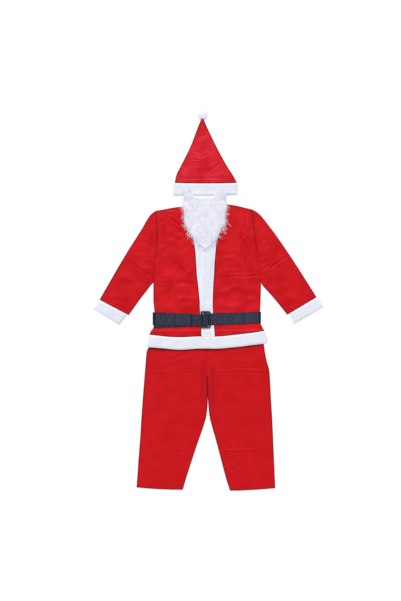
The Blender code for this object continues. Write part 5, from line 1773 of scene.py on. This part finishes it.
def wild_curls(name, node, beard_edge, outward, seed):
    """A strip down one side of the beard with tufts of curls standing out from it."""
    u, v = np.meshgrid(np.linspace(0.0, 1.0, 6), np.linspace(0.0, 1.0, 60))
    y = STRIP_SPAN[0] + (STRIP_SPAN[1] - STRIP_SPAN[0]) * v
    x = beard_edge(y) + outward * STRIP_OUT + (u - 0.5) * STRIP_WIDTH
    edge = rim_distance(x, y)
    middle, round_rim = beard_under(y) + 1.9, rounded(edge, 2.0)
    strip = wall(name, (x, y, middle + 1.6 * round_rim), (x, y, middle - 1.4 * round_rim), beard_white, edge)

    def flow(x, y, z):
        tuft = np.zeros_like(y)
        for side, level, spread in zip(*TUFTS.values()):
            if side == outward:
                tuft = np.maximum(tuft, np.exp(-(((y - level) / spread) ** 2)))
        return outward * (-0.5 + 1.6 * tuft), -0.9 + 0.6 * tuft, -0.1 + 0 * z

    set_flow(strip, flow)
    curls = grown(
        name + "_curls", curly, strip, beard_white, Density=26000.0, Seed=seed, Size=0.9,
        Fibre_radius=0.0006, Stand=0.25, Wildness=0.6,
    )
    lie_on_cloth(curls)
    keep(strip, node, slot="beard_fibre")
    keep(curls, slot="beard_fibre")


wild_curls("beard_right_side", "beard_fringe_right", beard_right, -1, 11)
wild_curls("beard_left_side", "beard_fringe_left", beard_left, 1, 12)

# %% [markdown]
# ## Pompom
#
# A pompom is a bundle of yarn tied in the middle and clipped to a ball, here squashed a little as it lies.
# The ball is a lumpy icosphere, and short yarn ends grow out of it, each with a lean of its own, cut at
# nearly the same length.

# %% Pompom ball
POMPOM_AT = (-24.8, 734.2, 8.6)
POMPOM_BALL = 19.4
POMPOM_FLAT = 0.62
FLOOR_CLEARANCE = 0.35
CAP_MIDDLE = -25.0  # of the hat's tip, which dents the ball

ball_mesh = bpy.data.meshes.new("pompom_yarn")
bm = bmesh.new()
bmesh.ops.create_icosphere(bm, subdivisions=5, radius=1.0)
for vert in bm.verts:
    way = vert.co.normalized()
    lump = 0.06 * math.sin(9 * way.x + 4 * way.y) * math.sin(8 * way.y - 5 * way.z)
    reach = POMPOM_BALL * (1.0 + lump + 0.03 * math.sin(23 * way.x))
    vert.co = (way.x * reach, way.y * reach, way.z * reach * POMPOM_FLAT)
    vert.co.x += POMPOM_AT[0] - CENTRE[0]
    vert.co.y += POMPOM_AT[1] - CENTRE[1]
    below_tip = CAP_TIP + 3.0 - CENTRE[1] - vert.co.y
    under_tip = math.exp(-(((vert.co.x - CAP_MIDDLE) / 8.0) ** 2)) * smooth(below_tip / 6.0)
    level = vert.co.z + POMPOM_AT[2]
    level += (min(level, TIP_LIFT - 3.0) - level) * under_tip
    vert.co.z = max(level, FLOOR_CLEARANCE)
bmesh.ops.scale(bm, vec=(MM,) * 3, verts=bm.verts[:])
bm.to_mesh(ball_mesh)
bm.free()
ball_mesh.shade_smooth()
ball_mesh.materials.append(pompom_white)
pompom = in_scene("pompom_yarn", ball_mesh)
set_flow(pompom, lambda x, y, z: (0 * x, 0 * y, 0 * z))


# %% Yarn ends
def above_floor(obj):
    """Fibre that would reach the floor is bent to lie just over it."""
    for vertex in obj.data.vertices:
        vertex.co.z = max(vertex.co.z, FLOOR_CLEARANCE * MM)


yarn = grown(
    "pompom_yarn_ends", yarn_ends, pompom, pompom_white, Density=520000.0, Seed=3, Size=0.30,
    Fibre_radius=0.0006, Stand=0.5, Wildness=0.7,
)
above_floor(yarn)
keep(pompom, "pompom", slot="beard_fibre")
keep(yarn, slot="beard_fibre")
